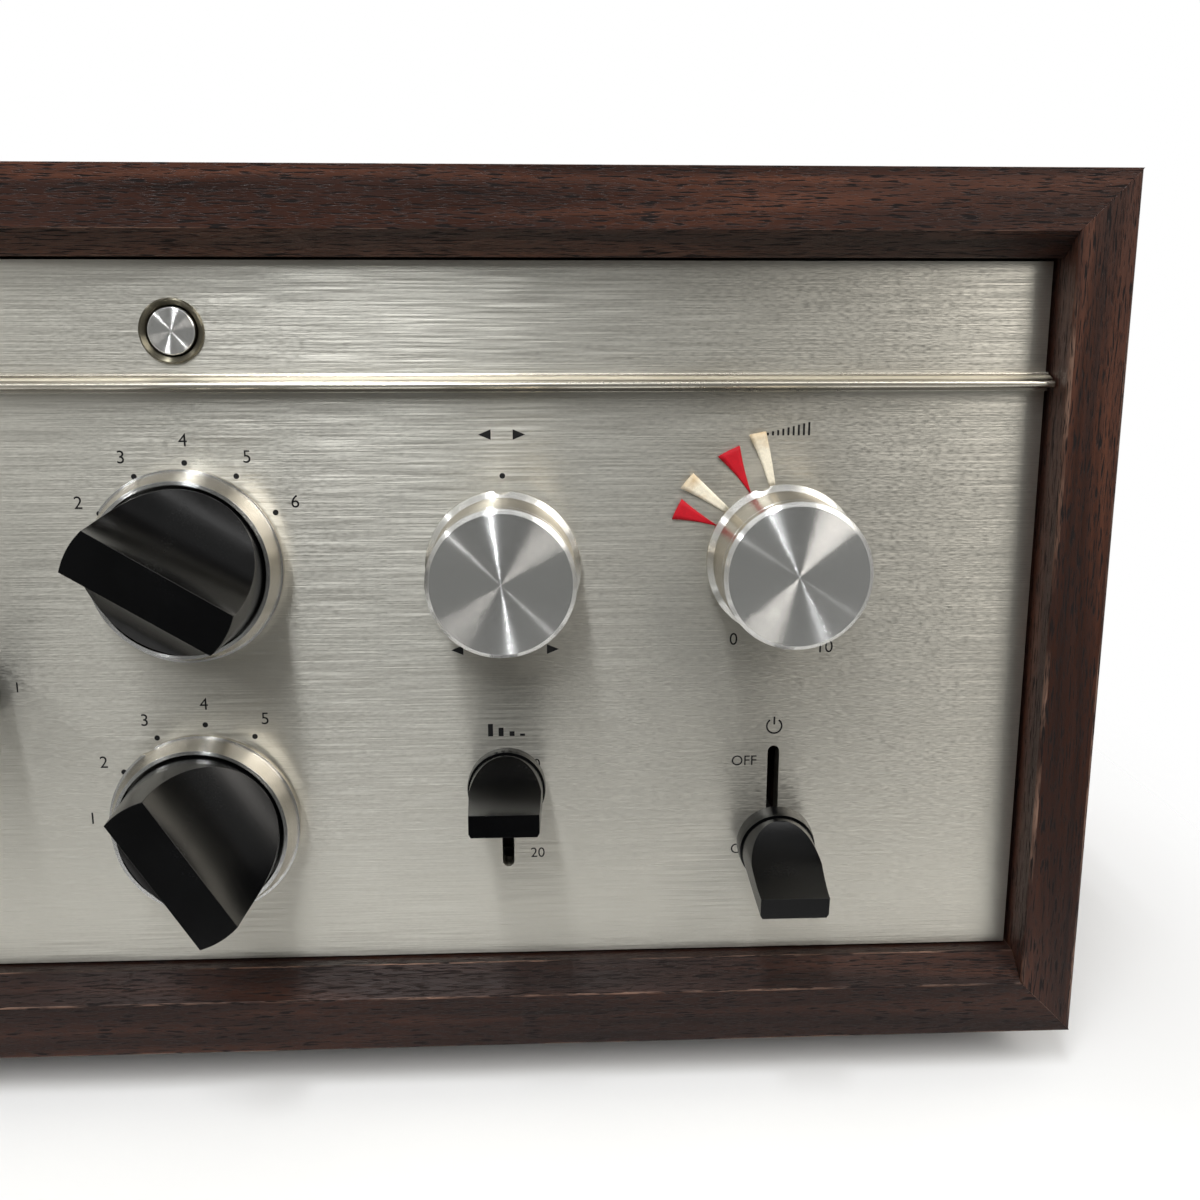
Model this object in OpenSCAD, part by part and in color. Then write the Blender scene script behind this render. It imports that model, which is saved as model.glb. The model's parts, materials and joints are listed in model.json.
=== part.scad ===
// Stereo control amplifier in a mitred wooden case.
// Millimetres. X to the right, Y from the front to the back, Z up.
// The origin is under the middle of the object, on the surface that it stands on.

/* [Case] */
// Width of the wooden case
case_w = 463; // [452:1:520]
// Height of the wooden case without its feet
case_h = 172; // [168:1:200]
// Depth of the wooden case
case_d = 245; // [225:1:320]
// Thickness of the top and bottom boards
board_t = 15.5; // [13:0.5:17]
// Thickness of the side boards
side_t = 11; // [9:0.5:13]
// Thickness of the top and bottom boards at their front edge
lip_t = 11; // [9:0.5:12]
// Depth of the bevel behind the front edge
bevel_d = 6; // [3:0.5:8]

/* [Vents] */
// Number of ventilation slots in the top board
vent_count = 20; // [8:2:24]
// Width of a ventilation slot
vent_w = 3.2; // [2:0.2:4]
// Length of a ventilation slot
vent_l = 80; // [40:1:100]
// Distance from slot to slot
vent_pitch = 15; // [10:1:18]

/* [Feet and screws] */
// Height of a foot
foot_h = 10; // [6:1:20]
// Radius of a foot
foot_r = 15; // [12:1:20]
// Distance of a foot's centre from the case's sides
foot_inset = 45; // [30:1:70]
// Radius of the screw shanks
screw_r = 2; // [1.5:0.1:2.5]
// Radius of the screw heads
screw_head_r = 4; // [3.5:0.1:5]
// Height of the screw heads
screw_head_h = 2.6; // [2:0.1:3.5]

/* [Front panel] */
// Depth of the panel's face behind the case's front
panel_recess = 9; // [7:0.5:12]
// Thickness of the front panel
panel_t = 5; // [3:0.5:6]
// Gap between the panel's ends and the side boards
panel_side_gap = 0.9; // [0.4:0.1:2]
// Gap between the panel and the top and bottom boards
panel_edge_gap = 0.5; // [0.3:0.1:1]
// Height of the trim strip
trim_h = 3.5; // [3.2:0.1:4.5]
// How far the trim strip stands out of the panel
trim_proud = 4; // [3:0.1:5]
// Gap between the trim strip's ends and the side boards
trim_gap = 0.4; // [0.3:0.1:1]

/* [Layout of the controls] */
// Sideways distance of the selectors from the middle
inner_col = 54.7; // [50:0.1:60]
// Sideways distance of the inner silver knobs from the middle
middle_col = 114.8; // [108:0.1:120]
// Sideways distance of the outer silver knobs from the middle
outer_col = 169; // [160:0.1:178]
// Sideways distance of the tape levers from the middle
tape_col = 10; // [9:0.1:14]
// Sideways place of the push button
button_col = 54.1; // [45:0.1:65]
// Height of the upper controls above the panel's middle
upper_row = 13.5; // [10:0.1:16]
// How far the balance knob sits below the other upper controls
balance_drop = 0.9; // [0:0.1:2]
// How far the mode selector sits outside the other selectors' columns
mode_shift = 0.5; // [0:0.1:1]
// How far the mode selector sits below the other lower controls
mode_drop = 0.4; // [0:0.1:1]
// Depth of the lower controls below the panel's middle
lower_row = 38.1; // [34:0.1:40]
// Depth of the tape levers below the panel's middle
tape_row = 11; // [6:0.1:14]
// Height of the trim strip above the panel's middle
trim_row = 47.6; // [46:0.05:50]
// Height of the push button above the panel's middle
button_row = 57.2; // [56:0.1:60]

/* [Silver knobs] */
// Distance from the panel to a knob's front face
knob_h = 20; // [16:0.5:24]
// Radius of a knob's body
knob_r = 13.8; // [11:0.1:14]
// How far the rear flange stands out of the body
knob_flange_w = 1.15; // [0.8:0.05:2]
// Thickness of the rear flange, with its sloped side
knob_flange_t = 2; // [1.8:0.1:3.5]
// Chamfer around the front face
knob_chamfer = 0.8; // [0.5:0.1:1.5]
// Gap between a knob and the panel
knob_gap = 3.3; // [0.6:0.1:5]
// Radius of the round index notch in the flange
notch_r = 2.6; // [1.5:0.1:3]
// Depth of the index notch
notch_depth = 0.6; // [0.5:0.1:1]
// Thickness of the metal in front of the shaft's hole
knob_face_t = 5; // [3:0.5:8]

/* [Selectors] */
// Distance from the panel to the top of a selector's bar
selector_h = 29; // [24:0.5:32]
// Outer radius of the skirt ring
ring_r = 18.6; // [18.1:0.1:19.5]
// Radius of the skirt ring at its front edge
ring_front_r = 16.9; // [16.7:0.1:18]
// Height of the skirt ring in front of its widest edge
ring_h = 5; // [3:0.1:6]
// Height of the bevel behind the skirt ring's widest edge
ring_bevel_h = 2.6; // [1:0.1:3]
// Thickness of the skirt ring's flat base
ring_base_t = 1.2; // [0.8:0.1:1.6]
// Gap between the skirt ring and the panel
ring_gap = 1.6; // [0.6:0.1:3]
// Radius of the cap where it sits in the ring
cap_base_r = 15.8; // [15:0.1:16]
// Radius of the cap at its top
cap_top_r = 15; // [14.5:0.1:15.5]
// Width of the bar across the cap
bar_w = 8.4; // [7:0.1:11]
// Radius of the hollow on each side of the bar
saddle_r = 22; // [17:0.5:22]

/* [Levers] */
// Width of a lever's slot
slot_w = 2.4; // [2.2:0.1:4]
// Length of a lever's slot
slot_l = 25.2; // [22:0.1:28]
// Swing of a lever to each side of the middle, in degrees
lever_swing = 6.2; // [5:0.1:7]
// Distance of a lever's pivot behind the panel's face
pivot_depth = 55; // [50:1:60]
// Distance from the panel to a lever cap when it stands straight
collar_gap = 4.2; // [1.6:0.1:6]
// Radius of the collar at the root of a lever cap
collar_r = 7.75; // [7.4:0.05:8.5]
// Length of the collar
collar_l = 4; // [3:0.1:5]
// Radius of a lever cap in front of its collar
lever_r = 7.2; // [6:0.1:7.3]
// Length of a lever cap
lever_l = 22.6; // [20:0.1:28]
// Thickness of a lever cap at its tip
tip_t = 4.2; // [3.5:0.1:6]
// Width of a lever cap at its tip
tip_w = 13; // [11:0.1:14]
// How far the tip lies below the middle of the cap
tip_drop = 1.75; // [0:0.05:2.5]
// Thickness of a lever's arm
arm_t = 1.7; // [1.2:0.1:1.8]
// Height of a lever's arm
arm_h = 4; // [3:0.1:4.2]
// Length of the arm inside the cap
arm_grip = 10; // [8:0.5:15]
// Radius of a lever's pivot pin
pivot_r = 2; // [1.5:0.1:2.5]

/* [Push button] */
// Radius of the button
button_r = 4.4; // [4:0.1:4.6]
// Radius of the bezel around the button
bezel_r = 6; // [5.8:0.1:7]
// How far the bezel stands out of the panel
bezel_proud = 0.7; // [0.6:0.1:1.5]
// Travel of the button
button_travel = 3; // [2:0.5:4]
// Radius of the button's stem
stem_r = 2; // [1.5:0.1:2.5]

/* [Shafts and fits] */
// Radius of the control shafts
shaft_r = 3; // [2.5:0.1:3.2]
// Running clearance around shafts, pins and stems
run_clear = 0.05; // [0.02:0.01:0.08]
// Clearance around pieces that are fixed together
seat_clear = 0.03; // [0.02:0.01:0.05]
// Clearance around pieces that pass through a sheet
pass_clear = 0.4; // [0.3:0.1:0.8]
// Radius of the threaded bushes
bush_r = 4.5; // [4.2:0.1:5]
// Height of the nuts on the bushes
nut_h = 2.4; // [2:0.1:3]
// Width of the nuts across their corners
nut_w = 14; // [13:0.5:16]

/* [Chassis] */
// Thickness of the sheet metal
sheet_t = 1.5; // [1:0.1:2]
// Gap between the front panel and the sub-panel behind it
sub_gap = 8; // [7:0.5:9]
// Distance of the sub-panel's edges from the panel's edges
sub_inset = 5; // [3:0.5:6]
// Depth of the rear panel inside the case
rear_recess = 16; // [14:0.5:24]
// Gap between the rear panel and the boards
rear_gap = 1; // [0.5:0.1:2]
// Height of the chassis tray's side walls
tray_h = 30; // [20:1:40]
// Gap between the chassis tray and the side boards
tray_gap = 8; // [4:0.5:12]

/* [Rear fittings] */
// Number of phono sockets in a row
socket_cols = 10; // [6:1:11]
// Distance from phono socket to phono socket
socket_pitch = 18; // [16:0.5:19]
// Radius of a phono socket's barrel
socket_r = 4.15; // [4.1:0.05:4.3]
// Length of a phono socket's barrel
socket_l = 9; // [8:0.5:10]
// Number of mains outlets
outlet_count = 3; // [1:1:3]
// Distance from outlet to outlet
outlet_pitch = 36; // [32:1:36]

/* [Inside] */
// Number of tubes
tube_count = 8; // [4:1:8]
// Distance from tube to tube
tube_pitch = 34; // [28:1:36]
// Radius of a tube's glass
tube_r = 10; // [9:0.5:11]
// Height of a tube's glass
tube_h = 48; // [40:1:55]
// Radius of a filter capacitor
can_r = 12.5; // [10:0.5:15]
// Height of a filter capacitor
can_h = 60; // [45:1:70]
// Width of the transformer's core
core_w = 60; // [52:1:64]
// Height of the transformer's core
core_h = 52; // [48:1:60]
// Thickness of the transformer's core
core_t = 30; // [24:1:34]

/* [Rest pose] */
// Where the volume knob's index points, in degrees clockwise from the top
volume_angle = -17; // [-150:1:150]
// Where the input selector points
input_angle = -58.5; // [-90:0.5:60]
// Where the mode selector points
mode_angle = -32; // [-90:0.5:30]
// Where the turnover selector points
turnover_angle = 0; // [-60:30:60]
// Where the filter selector points
filter_angle = -30; // [-60:30:60]

/* [Hidden] */
$fn = 96;

// Overlap of a cutting shape past the face that it cuts
over = 1;
z_bottom = foot_h;
z_top = foot_h + case_h;
half_w = case_w / 2;
inner_half_w = half_w - side_t;
inner_z0 = z_bottom + board_t;
inner_z1 = z_top - board_t;
panel_half_w = inner_half_w - panel_side_gap;
panel_z0 = inner_z0 + panel_edge_gap;
panel_z1 = inner_z1 - panel_edge_gap;
panel_mid = (panel_z0 + panel_z1) / 2;
// The layout's sizes are given for a panel of this half width and height, and spread with the panel
layout_half_w = 219.6;
layout_h = 140;
col_scale = panel_half_w / layout_half_w;
row_scale = (panel_z1 - panel_z0) / layout_h;
// The selectors or the levers reach furthest forward
front_proud = max(selector_h, collar_gap + lever_l) - panel_recess;
front_y = -(case_d - front_proud) / 2;
rear_y = front_y + case_d;
case_mid_y = front_y + case_d / 2;
panel_y = front_y + panel_recess;
sub_y = panel_y + panel_t + sub_gap;
rear_face = rear_y - rear_recess;
tray_z = inner_z0 + sheet_t;
tray_half_w = inner_half_w - tray_gap;
sub_half_w = panel_half_w - sub_inset;
sub_top = panel_z1 - sub_inset;

// Heights along a control's axis, counted outwards from the panel's face
panel_back = -panel_t;
sub_front = panel_back - sub_gap;
sub_back = sub_front - sheet_t;
bush_end_gap = 2;
bush_front = panel_back - bush_end_gap;
shaft_tail = 9;
shaft_end_play = 0.5;
panel_hole_r = bush_r + pass_clear;

// Screws: the feet's go up into the bottom board, the chassis' go through it into the tray
foot_x = half_w - foot_inset;
foot_y = case_d / 2 - foot_inset;
foot_web = 3;
foot_taper = 1.5;
foot_screw_bite = 10;
foot_screw_l = foot_web + foot_screw_bite;
chassis_screw_x = foot_x - 3 * foot_r;
chassis_screw_sink = 5;
chassis_screw_end = 3;

// Trim strip
bead_r = 0.75;
trim_base_share = 0.1;
trim_lip = 0.35;
trim_foot = 0.7;

// Silver knobs
knob_flange_r = knob_r + knob_flange_w;
knob_rim_t = 0.8;
knob_groove_back = 2.4;
knob_bore_top = knob_h - knob_face_t;
groove_w = 0.5;
groove_depth = 0.3;

// Selectors
ring_rim_t = 1;
ring_step = 0.4;
ring_wall = 0.7;
ring_bevel_w = 1.2;
ring_edge = ring_gap + ring_bevel_h;
ring_seat_r = ring_front_r - ring_wall;
ring_hole_r = shaft_r + over;
cap_seat = ring_edge + ring_base_t;
cap_bore_l = 14;

// Levers, measured from the pivot along the lever
collar_a = pivot_depth + collar_gap;
saddle_a = collar_a + collar_l + over;
tip_a = collar_a + lever_l;
tip_upper = tip_t / 2 - tip_drop;
tip_lower = tip_t / 2 + tip_drop;
collar_rim = 2.2;
collar_step = 0.4;
collar_front_r = lever_r + collar_step;
hub_wall = 3;
hub_r = pivot_r + hub_wall;
hub_w = 6;
cheek_t = 1.2;
cheek_gap = 0.4;
cheek_h = 16;
lever_body_w = hub_w + 2 * cheek_gap + 2 * cheek_t;
lever_plate_w = 16;
lever_plate_margin = 8;
lever_plate_h = slot_l + 2 * lever_plate_margin;
lever_window_margin = 2;
lever_window_h = slot_l + 2 * lever_window_margin;
lever_block_h = 28;
lever_block_l = 14;

// Push button
button_proud = 0.5;
button_cap_l = 7;
bezel_wall = 0.4;
bezel_edge = 0.2;
bezel_sink = 0.2;
bezel_bore_r = button_r + pass_clear;
bezel_tube_r = bezel_bore_r + bezel_wall;
push_body_w = 14;
push_body_l = 22;
stem_in = 6;
stem_end_room = 2;
stem_room = stem_in + button_travel + stem_end_room;

// Potentiometers and rotary switches
pot_r = 12;
pot_l = 14;
lug_w = 10;
lug_l = 6;
lug_t = 1.2;
index_r = 17;
index_l = 5;
wafer_r = 15;
wafer_t = 2;
wafer_pitch = 8;
wafer_count = 3;
rod_r = 1.5;
rod_x = 11;

// Rear fittings, their heights counted from the case's underside
socket_rows = [42, 66];
socket_x0 = -8;
socket_flange_r = 6;
socket_flange_t = 2;
socket_stem_r = 4;
socket_stem_l = 10;
socket_pin_r = 1.65;
socket_pin_l = 8;
outlet_x0 = -58;
outlet_z = 54;
outlet_w = 30;
outlet_h = 24;
outlet_t = 3;
outlet_rim = 3;
outlet_back = 16;
outlet_slot_w = 1.8;
outlet_slot_h = 7;
outlet_slot_l = 12;
outlet_slot_gap = 12.7;
fitting_z = 108;
fuse_x = -70;
fuse_r = 6;
fuse_flange_r = 8.5;
fuse_flange_t = 2;
fuse_cap_l = 9;
fuse_back = 28;
fuse_slot_w = 1.6;
fuse_slot_h = 2;
post_x = 120;
post_r = 2.5;
post_l = 14;
post_base_r = 5;
post_base_t = 2;
post_nut_r = 5.5;
post_nut_l = 6;
post_nut_z = 4;
bushing_x = -150;
bushing_r = 6;
bushing_flange_r = 9;
bushing_flange_t = 3;
bushing_back = 8;
cord_hole_r = 3.6;

// Inside pieces
tube_y = 8;
tube_socket_rim = 1.5;
tube_socket_r = tube_r + tube_socket_rim;
tube_socket_h = 9;
tube_key_r = 2;
can_count = 3;
can_x0 = 10;
can_y = 66;
can_gap = 6;
can_pitch = 2 * can_r + can_gap;
can_rim_step = 1.5;
can_rim_r = can_r - can_rim_step;
can_rim_h = 1.5;
core_x = 150;
core_y = 62;
core_gap = 0.2;
// Laminations: the middle leg is a third of the core's width, the windows and side legs a sixth
leg_w = core_w / 3;
window_w = core_w / 6;
window_h = core_h - 2 * window_w;

knob_places = [
    [outer_col, upper_row], [middle_col, upper_row - balance_drop],
    [-outer_col, upper_row], [-middle_col, upper_row]
];
selector_places = [
    [inner_col, upper_row], [inner_col + mode_shift, -lower_row - mode_drop],
    [-inner_col, upper_row], [-inner_col, -lower_row]
];
lever_places = [
    [outer_col, -lower_row], [middle_col, -lower_row],
    [-outer_col, -lower_row], [-middle_col, -lower_row],
    [tape_col, -tape_row], [-tape_col, -tape_row]
];

wood = "#4b2b22";
silver = "#d9d8d2";
champagne = "#c9c6bb";
satin_black = "#1d1e20";
rubber = "#242424";
steel = "#9a9b9c";
brass = "#b99a4b";
bakelite = "#3a2a1e";
ceramic = "#e6e2d6";
glass = "#cfd8d8";
copper = "#a8622f";

// Stands a shape on the panel's face: x to the right, y up, z out towards the user.
module at_control(place)
    translate([place[0] * col_scale, panel_y, panel_mid + place[1] * row_scale])
        rotate([90, 0, 0])
            children();

// Stands a shape on the rear panel's outer face: x to the right from the front, z backwards.
module at_rear(x, height)
    translate([x, rear_face, z_bottom + height])
        rotate([-90, 0, 0])
            children();

// Turns a control clockwise, seen from the front.
module clockwise(angle)
    rotate([0, 0, -angle])
        children();

// Moves to a lever's pivot and leans the lever: a positive angle lifts its tip.
module lean(angle)
    translate([0, 0, -pivot_depth])
        rotate([-angle, 0, 0])
            children();

// Extrudes a cross-section, drawn in X and Z, through the case's depth.
module along_case()
    translate([0, rear_y, 0])
        rotate([90, 0, 0])
            linear_extrude(case_d)
                children();

// Extrudes a cross-section, drawn in Y and Z, across the object.
module across(length)
    translate([-length / 2, 0, 0])
        rotate([90, 0, 90])
            linear_extrude(length)
                children();

module stadium(width, length) {
    square([width, length - width], center = true);
    for (end = [-1, 1])
        translate([0, end * (length - width) / 2])
            circle(d = width);
}

module at_feet()
    for (x = [-foot_x, foot_x], y = [-foot_y, foot_y])
        translate([x, case_mid_y + y, 0])
            children();

module at_chassis_screws()
    for (x = [-chassis_screw_x, chassis_screw_x], y = [-foot_y, foot_y])
        translate([x, case_mid_y + y, z_bottom + chassis_screw_sink])
            children();

// A screw whose head's underside lies at z = 0 and whose shank points up.
module screw(length) {
    cylinder(r = screw_r, h = length);
    translate([0, 0, -screw_head_h])
        cylinder(r = screw_head_r, h = screw_head_h);
}

// Wedge that bevels a board's inner front edge from the lip to its full thickness.
module front_bevel(lip_z, inner_z) {
    slope = (inner_z - lip_z) / bevel_d;
    far_z = inner_z + slope * over;
    across(case_w)
        polygon([
            [front_y - over, lip_z - slope * over],
            [front_y + bevel_d + over, far_z],
            [front_y - over, far_z]
        ]);
}

// Board with mitred ends, between its outer face and its inner face.
module mitred_board(outer_z, lip_z, inner_z)
    difference() {
        along_case()
            polygon([
                [-half_w, outer_z], [half_w, outer_z],
                [inner_half_w, lip_z], [inner_half_w, inner_z],
                [-inner_half_w, inner_z], [-inner_half_w, lip_z]
            ]);
        front_bevel(lip_z, inner_z);
    }

module case_top()
    color(wood)
        difference() {
            mitred_board(z_top, z_top - lip_t, inner_z1);
            for (i = [0 : vent_count - 1])
                translate([(i - (vent_count - 1) / 2) * vent_pitch, case_mid_y, inner_z1 - over])
                    linear_extrude(board_t + 2 * over)
                        stadium(vent_w, vent_l);
        }

module case_bottom()
    color(wood)
        difference() {
            mitred_board(z_bottom, z_bottom + lip_t, inner_z0);
            at_feet()
                translate([0, 0, z_bottom - over])
                    cylinder(r = screw_r + seat_clear, h = foot_screw_bite + 2 * over);
            at_chassis_screws() {
                cylinder(r = screw_r + seat_clear, h = board_t);
                translate([0, 0, -chassis_screw_sink - over])
                    cylinder(r = screw_head_r + pass_clear, h = chassis_screw_sink + over);
            }
        }

module side_board(side)
    color(wood)
        along_case()
            polygon([
                [side * half_w, z_bottom], [side * half_w, z_top],
                [side * inner_half_w, z_top - lip_t], [side * inner_half_w, z_bottom + lip_t]
            ]);

module case_left() side_board(-1);

module case_right() side_board(1);

module feet()
    color(rubber)
        at_feet()
            difference() {
                cylinder(r1 = foot_r - foot_taper, r2 = foot_r, h = foot_h);
                translate([0, 0, -over])
                    cylinder(r = screw_head_r + pass_clear, h = foot_h - foot_web + over);
                cylinder(r = screw_r + seat_clear, h = foot_h + over);
            }

module screws()
    color(steel) {
        at_feet()
            translate([0, 0, foot_h - foot_web])
                screw(foot_screw_l);
        at_chassis_screws()
            screw(board_t - chassis_screw_sink + sheet_t + chassis_screw_end);
    }

module front_panel()
    color(champagne)
        difference() {
            translate([-panel_half_w, panel_y, panel_z0])
                cube([2 * panel_half_w, panel_t, panel_z1 - panel_z0]);
            for (place = concat(knob_places, selector_places))
                at_control(place)
                    translate([0, 0, panel_back - over])
                        cylinder(r = panel_hole_r, h = panel_t + 2 * over);
            for (place = lever_places)
                at_control(place)
                    translate([0, 0, panel_back - over])
                        linear_extrude(panel_t + 2 * over)
                            stadium(slot_w, slot_l);
            at_control([button_col, button_row])
                translate([0, 0, panel_back - over])
                    cylinder(r = bezel_tube_r + seat_clear, h = panel_t + 2 * over);
        }

// Strip on a thin base, with a sloped upper face and a half-round bead along its front edge.
module trim_strip() {
    bead_y = trim_proud - bead_r;
    base_y = trim_base_share * trim_proud;
    color(silver)
        translate([0, panel_y, panel_mid + trim_row * row_scale - trim_h / 2])
            across(2 * (inner_half_w - trim_gap)) {
                polygon([
                    [0, 0], [0, trim_h], [-base_y, trim_h], [-base_y, trim_h - trim_lip],
                    [-bead_y, trim_foot + 2 * bead_r], [-bead_y, trim_foot],
                    [-base_y, trim_foot], [-base_y, 0]
                ]);
                translate([-bead_y, trim_foot + bead_r])
                    circle(r = bead_r);
            }
}

// Pan behind the front panel: its rim reaches forward to the panel's back.
module sub_panel()
    color(steel)
        difference() {
            translate([-sub_half_w, sub_y - sub_gap, tray_z])
                cube([2 * sub_half_w, sub_gap + sheet_t, sub_top - tray_z]);
            translate([-sub_half_w + sheet_t, sub_y - sub_gap - over, tray_z + sheet_t])
                cube([2 * (sub_half_w - sheet_t), sub_gap + over, sub_top - tray_z - 2 * sheet_t]);
            for (place = concat(knob_places, selector_places))
                at_control(place)
                    translate([0, 0, sub_back - over])
                        cylinder(r = bush_r + seat_clear, h = sheet_t + 2 * over);
            for (place = lever_places)
                at_control(place)
                    translate([0, 0, sub_back - over])
                        linear_extrude(sheet_t + 2 * over)
                            square([hub_w, lever_window_h], center = true);
            at_control([button_col, button_row])
                translate([0, 0, sub_back - over])
                    cylinder(r = stem_r + pass_clear, h = sheet_t + 2 * over);
        }

module chassis() {
    tray_l = rear_face - sheet_t - sub_y;
    color(steel)
        difference() {
            union() {
                translate([-tray_half_w, sub_y, inner_z0])
                    cube([2 * tray_half_w, tray_l, sheet_t]);
                for (x = [-tray_half_w, tray_half_w - sheet_t])
                    translate([x, sub_y + sheet_t, inner_z0])
                        cube([sheet_t, tray_l - sheet_t, tray_h]);
            }
            at_chassis_screws()
                cylinder(r = screw_r + seat_clear, h = board_t + 2 * sheet_t);
        }
}

module rear_panel() {
    rear_half_w = inner_half_w - rear_gap;
    color(satin_black)
        difference() {
            translate([-rear_half_w, rear_face - sheet_t, inner_z0])
                cube([2 * rear_half_w, sheet_t, inner_z1 - rear_gap - inner_z0]);
            at_sockets()
                rear_hole(socket_stem_r);
            at_outlets()
                translate([0, 0, -sheet_t - over])
                    linear_extrude(sheet_t + 2 * over)
                        square([outlet_body(outlet_w), outlet_body(outlet_h)] + 2 * [seat_clear, seat_clear],
                            center = true);
            at_rear(fuse_x * col_scale, fitting_z)
                rear_hole(fuse_r);
            at_rear(post_x * col_scale, fitting_z)
                rear_hole(post_r);
            at_rear(bushing_x * col_scale, fitting_z)
                rear_hole(bushing_r);
        }
}

module rear_hole(radius)
    translate([0, 0, -sheet_t - over])
        cylinder(r = radius + seat_clear, h = sheet_t + 2 * over);

// Knob of turned metal: sloped flange with an index notch, fine groove, chamfered face.
module silver_knob(angle) {
    groove_z = knob_h - knob_chamfer - knob_groove_back;
    color(silver)
        clockwise(angle)
            difference() {
                rotate_extrude()
                    polygon([
                        [0, knob_gap], [knob_flange_r, knob_gap],
                        [knob_flange_r, knob_gap + knob_rim_t], [knob_r, knob_gap + knob_flange_t],
                        [knob_r, groove_z], [knob_r - groove_depth, groove_z],
                        [knob_r - groove_depth, groove_z + groove_w], [knob_r, groove_z + groove_w],
                        [knob_r, knob_h - knob_chamfer], [knob_r - knob_chamfer, knob_h], [0, knob_h]
                    ]);
                index_notch(knob_flange_r, knob_gap, knob_flange_t);
                translate([0, 0, knob_gap - over])
                    cylinder(r = shaft_r + seat_clear, h = knob_bore_top - knob_gap + over);
            }
}

module index_notch(radius, rear, height)
    translate([0, radius + notch_r - notch_depth, rear - over])
        cylinder(r = notch_r, h = height + 2 * over);

// Shaft from inside a control to the bottom of the hole in its knob.
module control_shaft(top) {
    rear = sub_back - shaft_tail + shaft_end_play;
    color(brass)
        translate([0, 0, rear])
            cylinder(r = shaft_r, h = top - rear);
}

// Metal cup, bevelled behind, with a thin rim and a conical side, which the black cap sits in.
module selector_ring(angle)
    color(silver)
        clockwise(angle)
            difference() {
                rotate_extrude()
                    polygon([
                        [ring_hole_r, ring_gap], [ring_r - ring_bevel_w, ring_gap], [ring_r, ring_edge],
                        [ring_r, ring_edge + ring_rim_t], [ring_r - ring_step, ring_edge + ring_rim_t],
                        [ring_front_r, ring_edge + ring_h], [ring_seat_r, ring_edge + ring_h],
                        [ring_seat_r, cap_seat], [ring_hole_r, cap_seat]
                    ]);
                index_notch(ring_r, ring_gap, ring_bevel_h + ring_h);
            }

// Tapered disc with a hollow on each side of a flat-topped bar.
module selector_cap(angle)
    color(satin_black)
        clockwise(angle)
            difference() {
                translate([0, 0, cap_seat])
                    cylinder(r1 = cap_base_r, r2 = cap_top_r, h = selector_h - cap_seat);
                for (side = [-1, 1])
                    translate([side * (bar_w / 2 + saddle_r), 0, selector_h])
                        rotate([90, 0, 0])
                            cylinder(r = saddle_r, h = 3 * cap_base_r, center = true);
                translate([0, 0, cap_seat - over])
                    cylinder(r = shaft_r + seat_clear, h = cap_bore_l + over);
            }

// Radius of the arc that rises by a height over a lever cap's sloped length.
function hollow_r(rise) = ((tip_a - saddle_a) ^ 2 + rise ^ 2) / (2 * rise);

module lever_hollow(tip_level, side) {
    radius = hollow_r(lever_r - tip_level);
    translate([0, side * (tip_level + radius), tip_a])
        rotate([0, 90, 0])
            cylinder(r = radius, h = 4 * lever_r, center = true);
}

// Wedge that slopes a lever cap's flank from its round body to the width of its tip.
module lever_flank(side)
    rotate([90, 0, 0])
        linear_extrude(4 * lever_r, center = true)
            polygon([
                [side * lever_r, saddle_a], [side * tip_w / 2, tip_a], [side * tip_w / 2, tip_a + over],
                [side * 2 * lever_r, tip_a + over], [side * 2 * lever_r, saddle_a]
            ]);

// Cap of a lever: conical collar, then a round body hollowed above and below to a flat tip.
module lever_cap(angle)
    color(satin_black)
        lean(angle)
            difference() {
                translate([0, 0, collar_a])
                    rotate_extrude()
                        polygon([
                            [0, 0], [collar_r, 0], [collar_r, collar_rim],
                            [collar_front_r, collar_l - groove_w],
                            [lever_r - groove_depth, collar_l - groove_w],
                            [lever_r - groove_depth, collar_l],
                            [lever_r, collar_l], [lever_r, lever_l], [0, lever_l]
                        ]);
                lever_hollow(tip_upper, 1);
                lever_hollow(tip_lower, -1);
                for (side = [-1, 1])
                    lever_flank(side);
                translate([0, 0, collar_a - over])
                    linear_extrude(arm_grip + over)
                        square([arm_t, arm_h] + 2 * [seat_clear, seat_clear], center = true);
            }

// Flat arm with a round hub on the pivot pin.
module lever_arm(angle)
    color(steel)
        lean(angle)
            difference() {
                union() {
                    rotate([0, 90, 0])
                        cylinder(r = hub_r, h = hub_w, center = true);
                    linear_extrude(collar_a + arm_grip)
                        square([arm_t, arm_h], center = true);
                }
                rotate([0, 90, 0])
                    cylinder(r = pivot_r + run_clear, h = hub_w + 2 * over, center = true);
            }

module volume_knob() at_control(knob_places[0]) silver_knob(volume_angle);

module volume_shaft() at_control(knob_places[0]) control_shaft(knob_bore_top);

module balance_knob() at_control(knob_places[1]) silver_knob(0);

module balance_shaft() at_control(knob_places[1]) control_shaft(knob_bore_top);

module bass_knob() at_control(knob_places[2]) silver_knob(0);

module bass_shaft() at_control(knob_places[2]) control_shaft(knob_bore_top);

module treble_knob() at_control(knob_places[3]) silver_knob(0);

module treble_shaft() at_control(knob_places[3]) control_shaft(knob_bore_top);

module input_cap() at_control(selector_places[0]) selector_cap(input_angle);

module input_ring() at_control(selector_places[0]) selector_ring(input_angle);

module input_shaft() at_control(selector_places[0]) control_shaft(cap_seat + cap_bore_l);

module mode_cap() at_control(selector_places[1]) selector_cap(mode_angle);

module mode_ring() at_control(selector_places[1]) selector_ring(mode_angle);

module mode_shaft() at_control(selector_places[1]) control_shaft(cap_seat + cap_bore_l);

module turnover_cap() at_control(selector_places[2]) selector_cap(turnover_angle);

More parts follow.
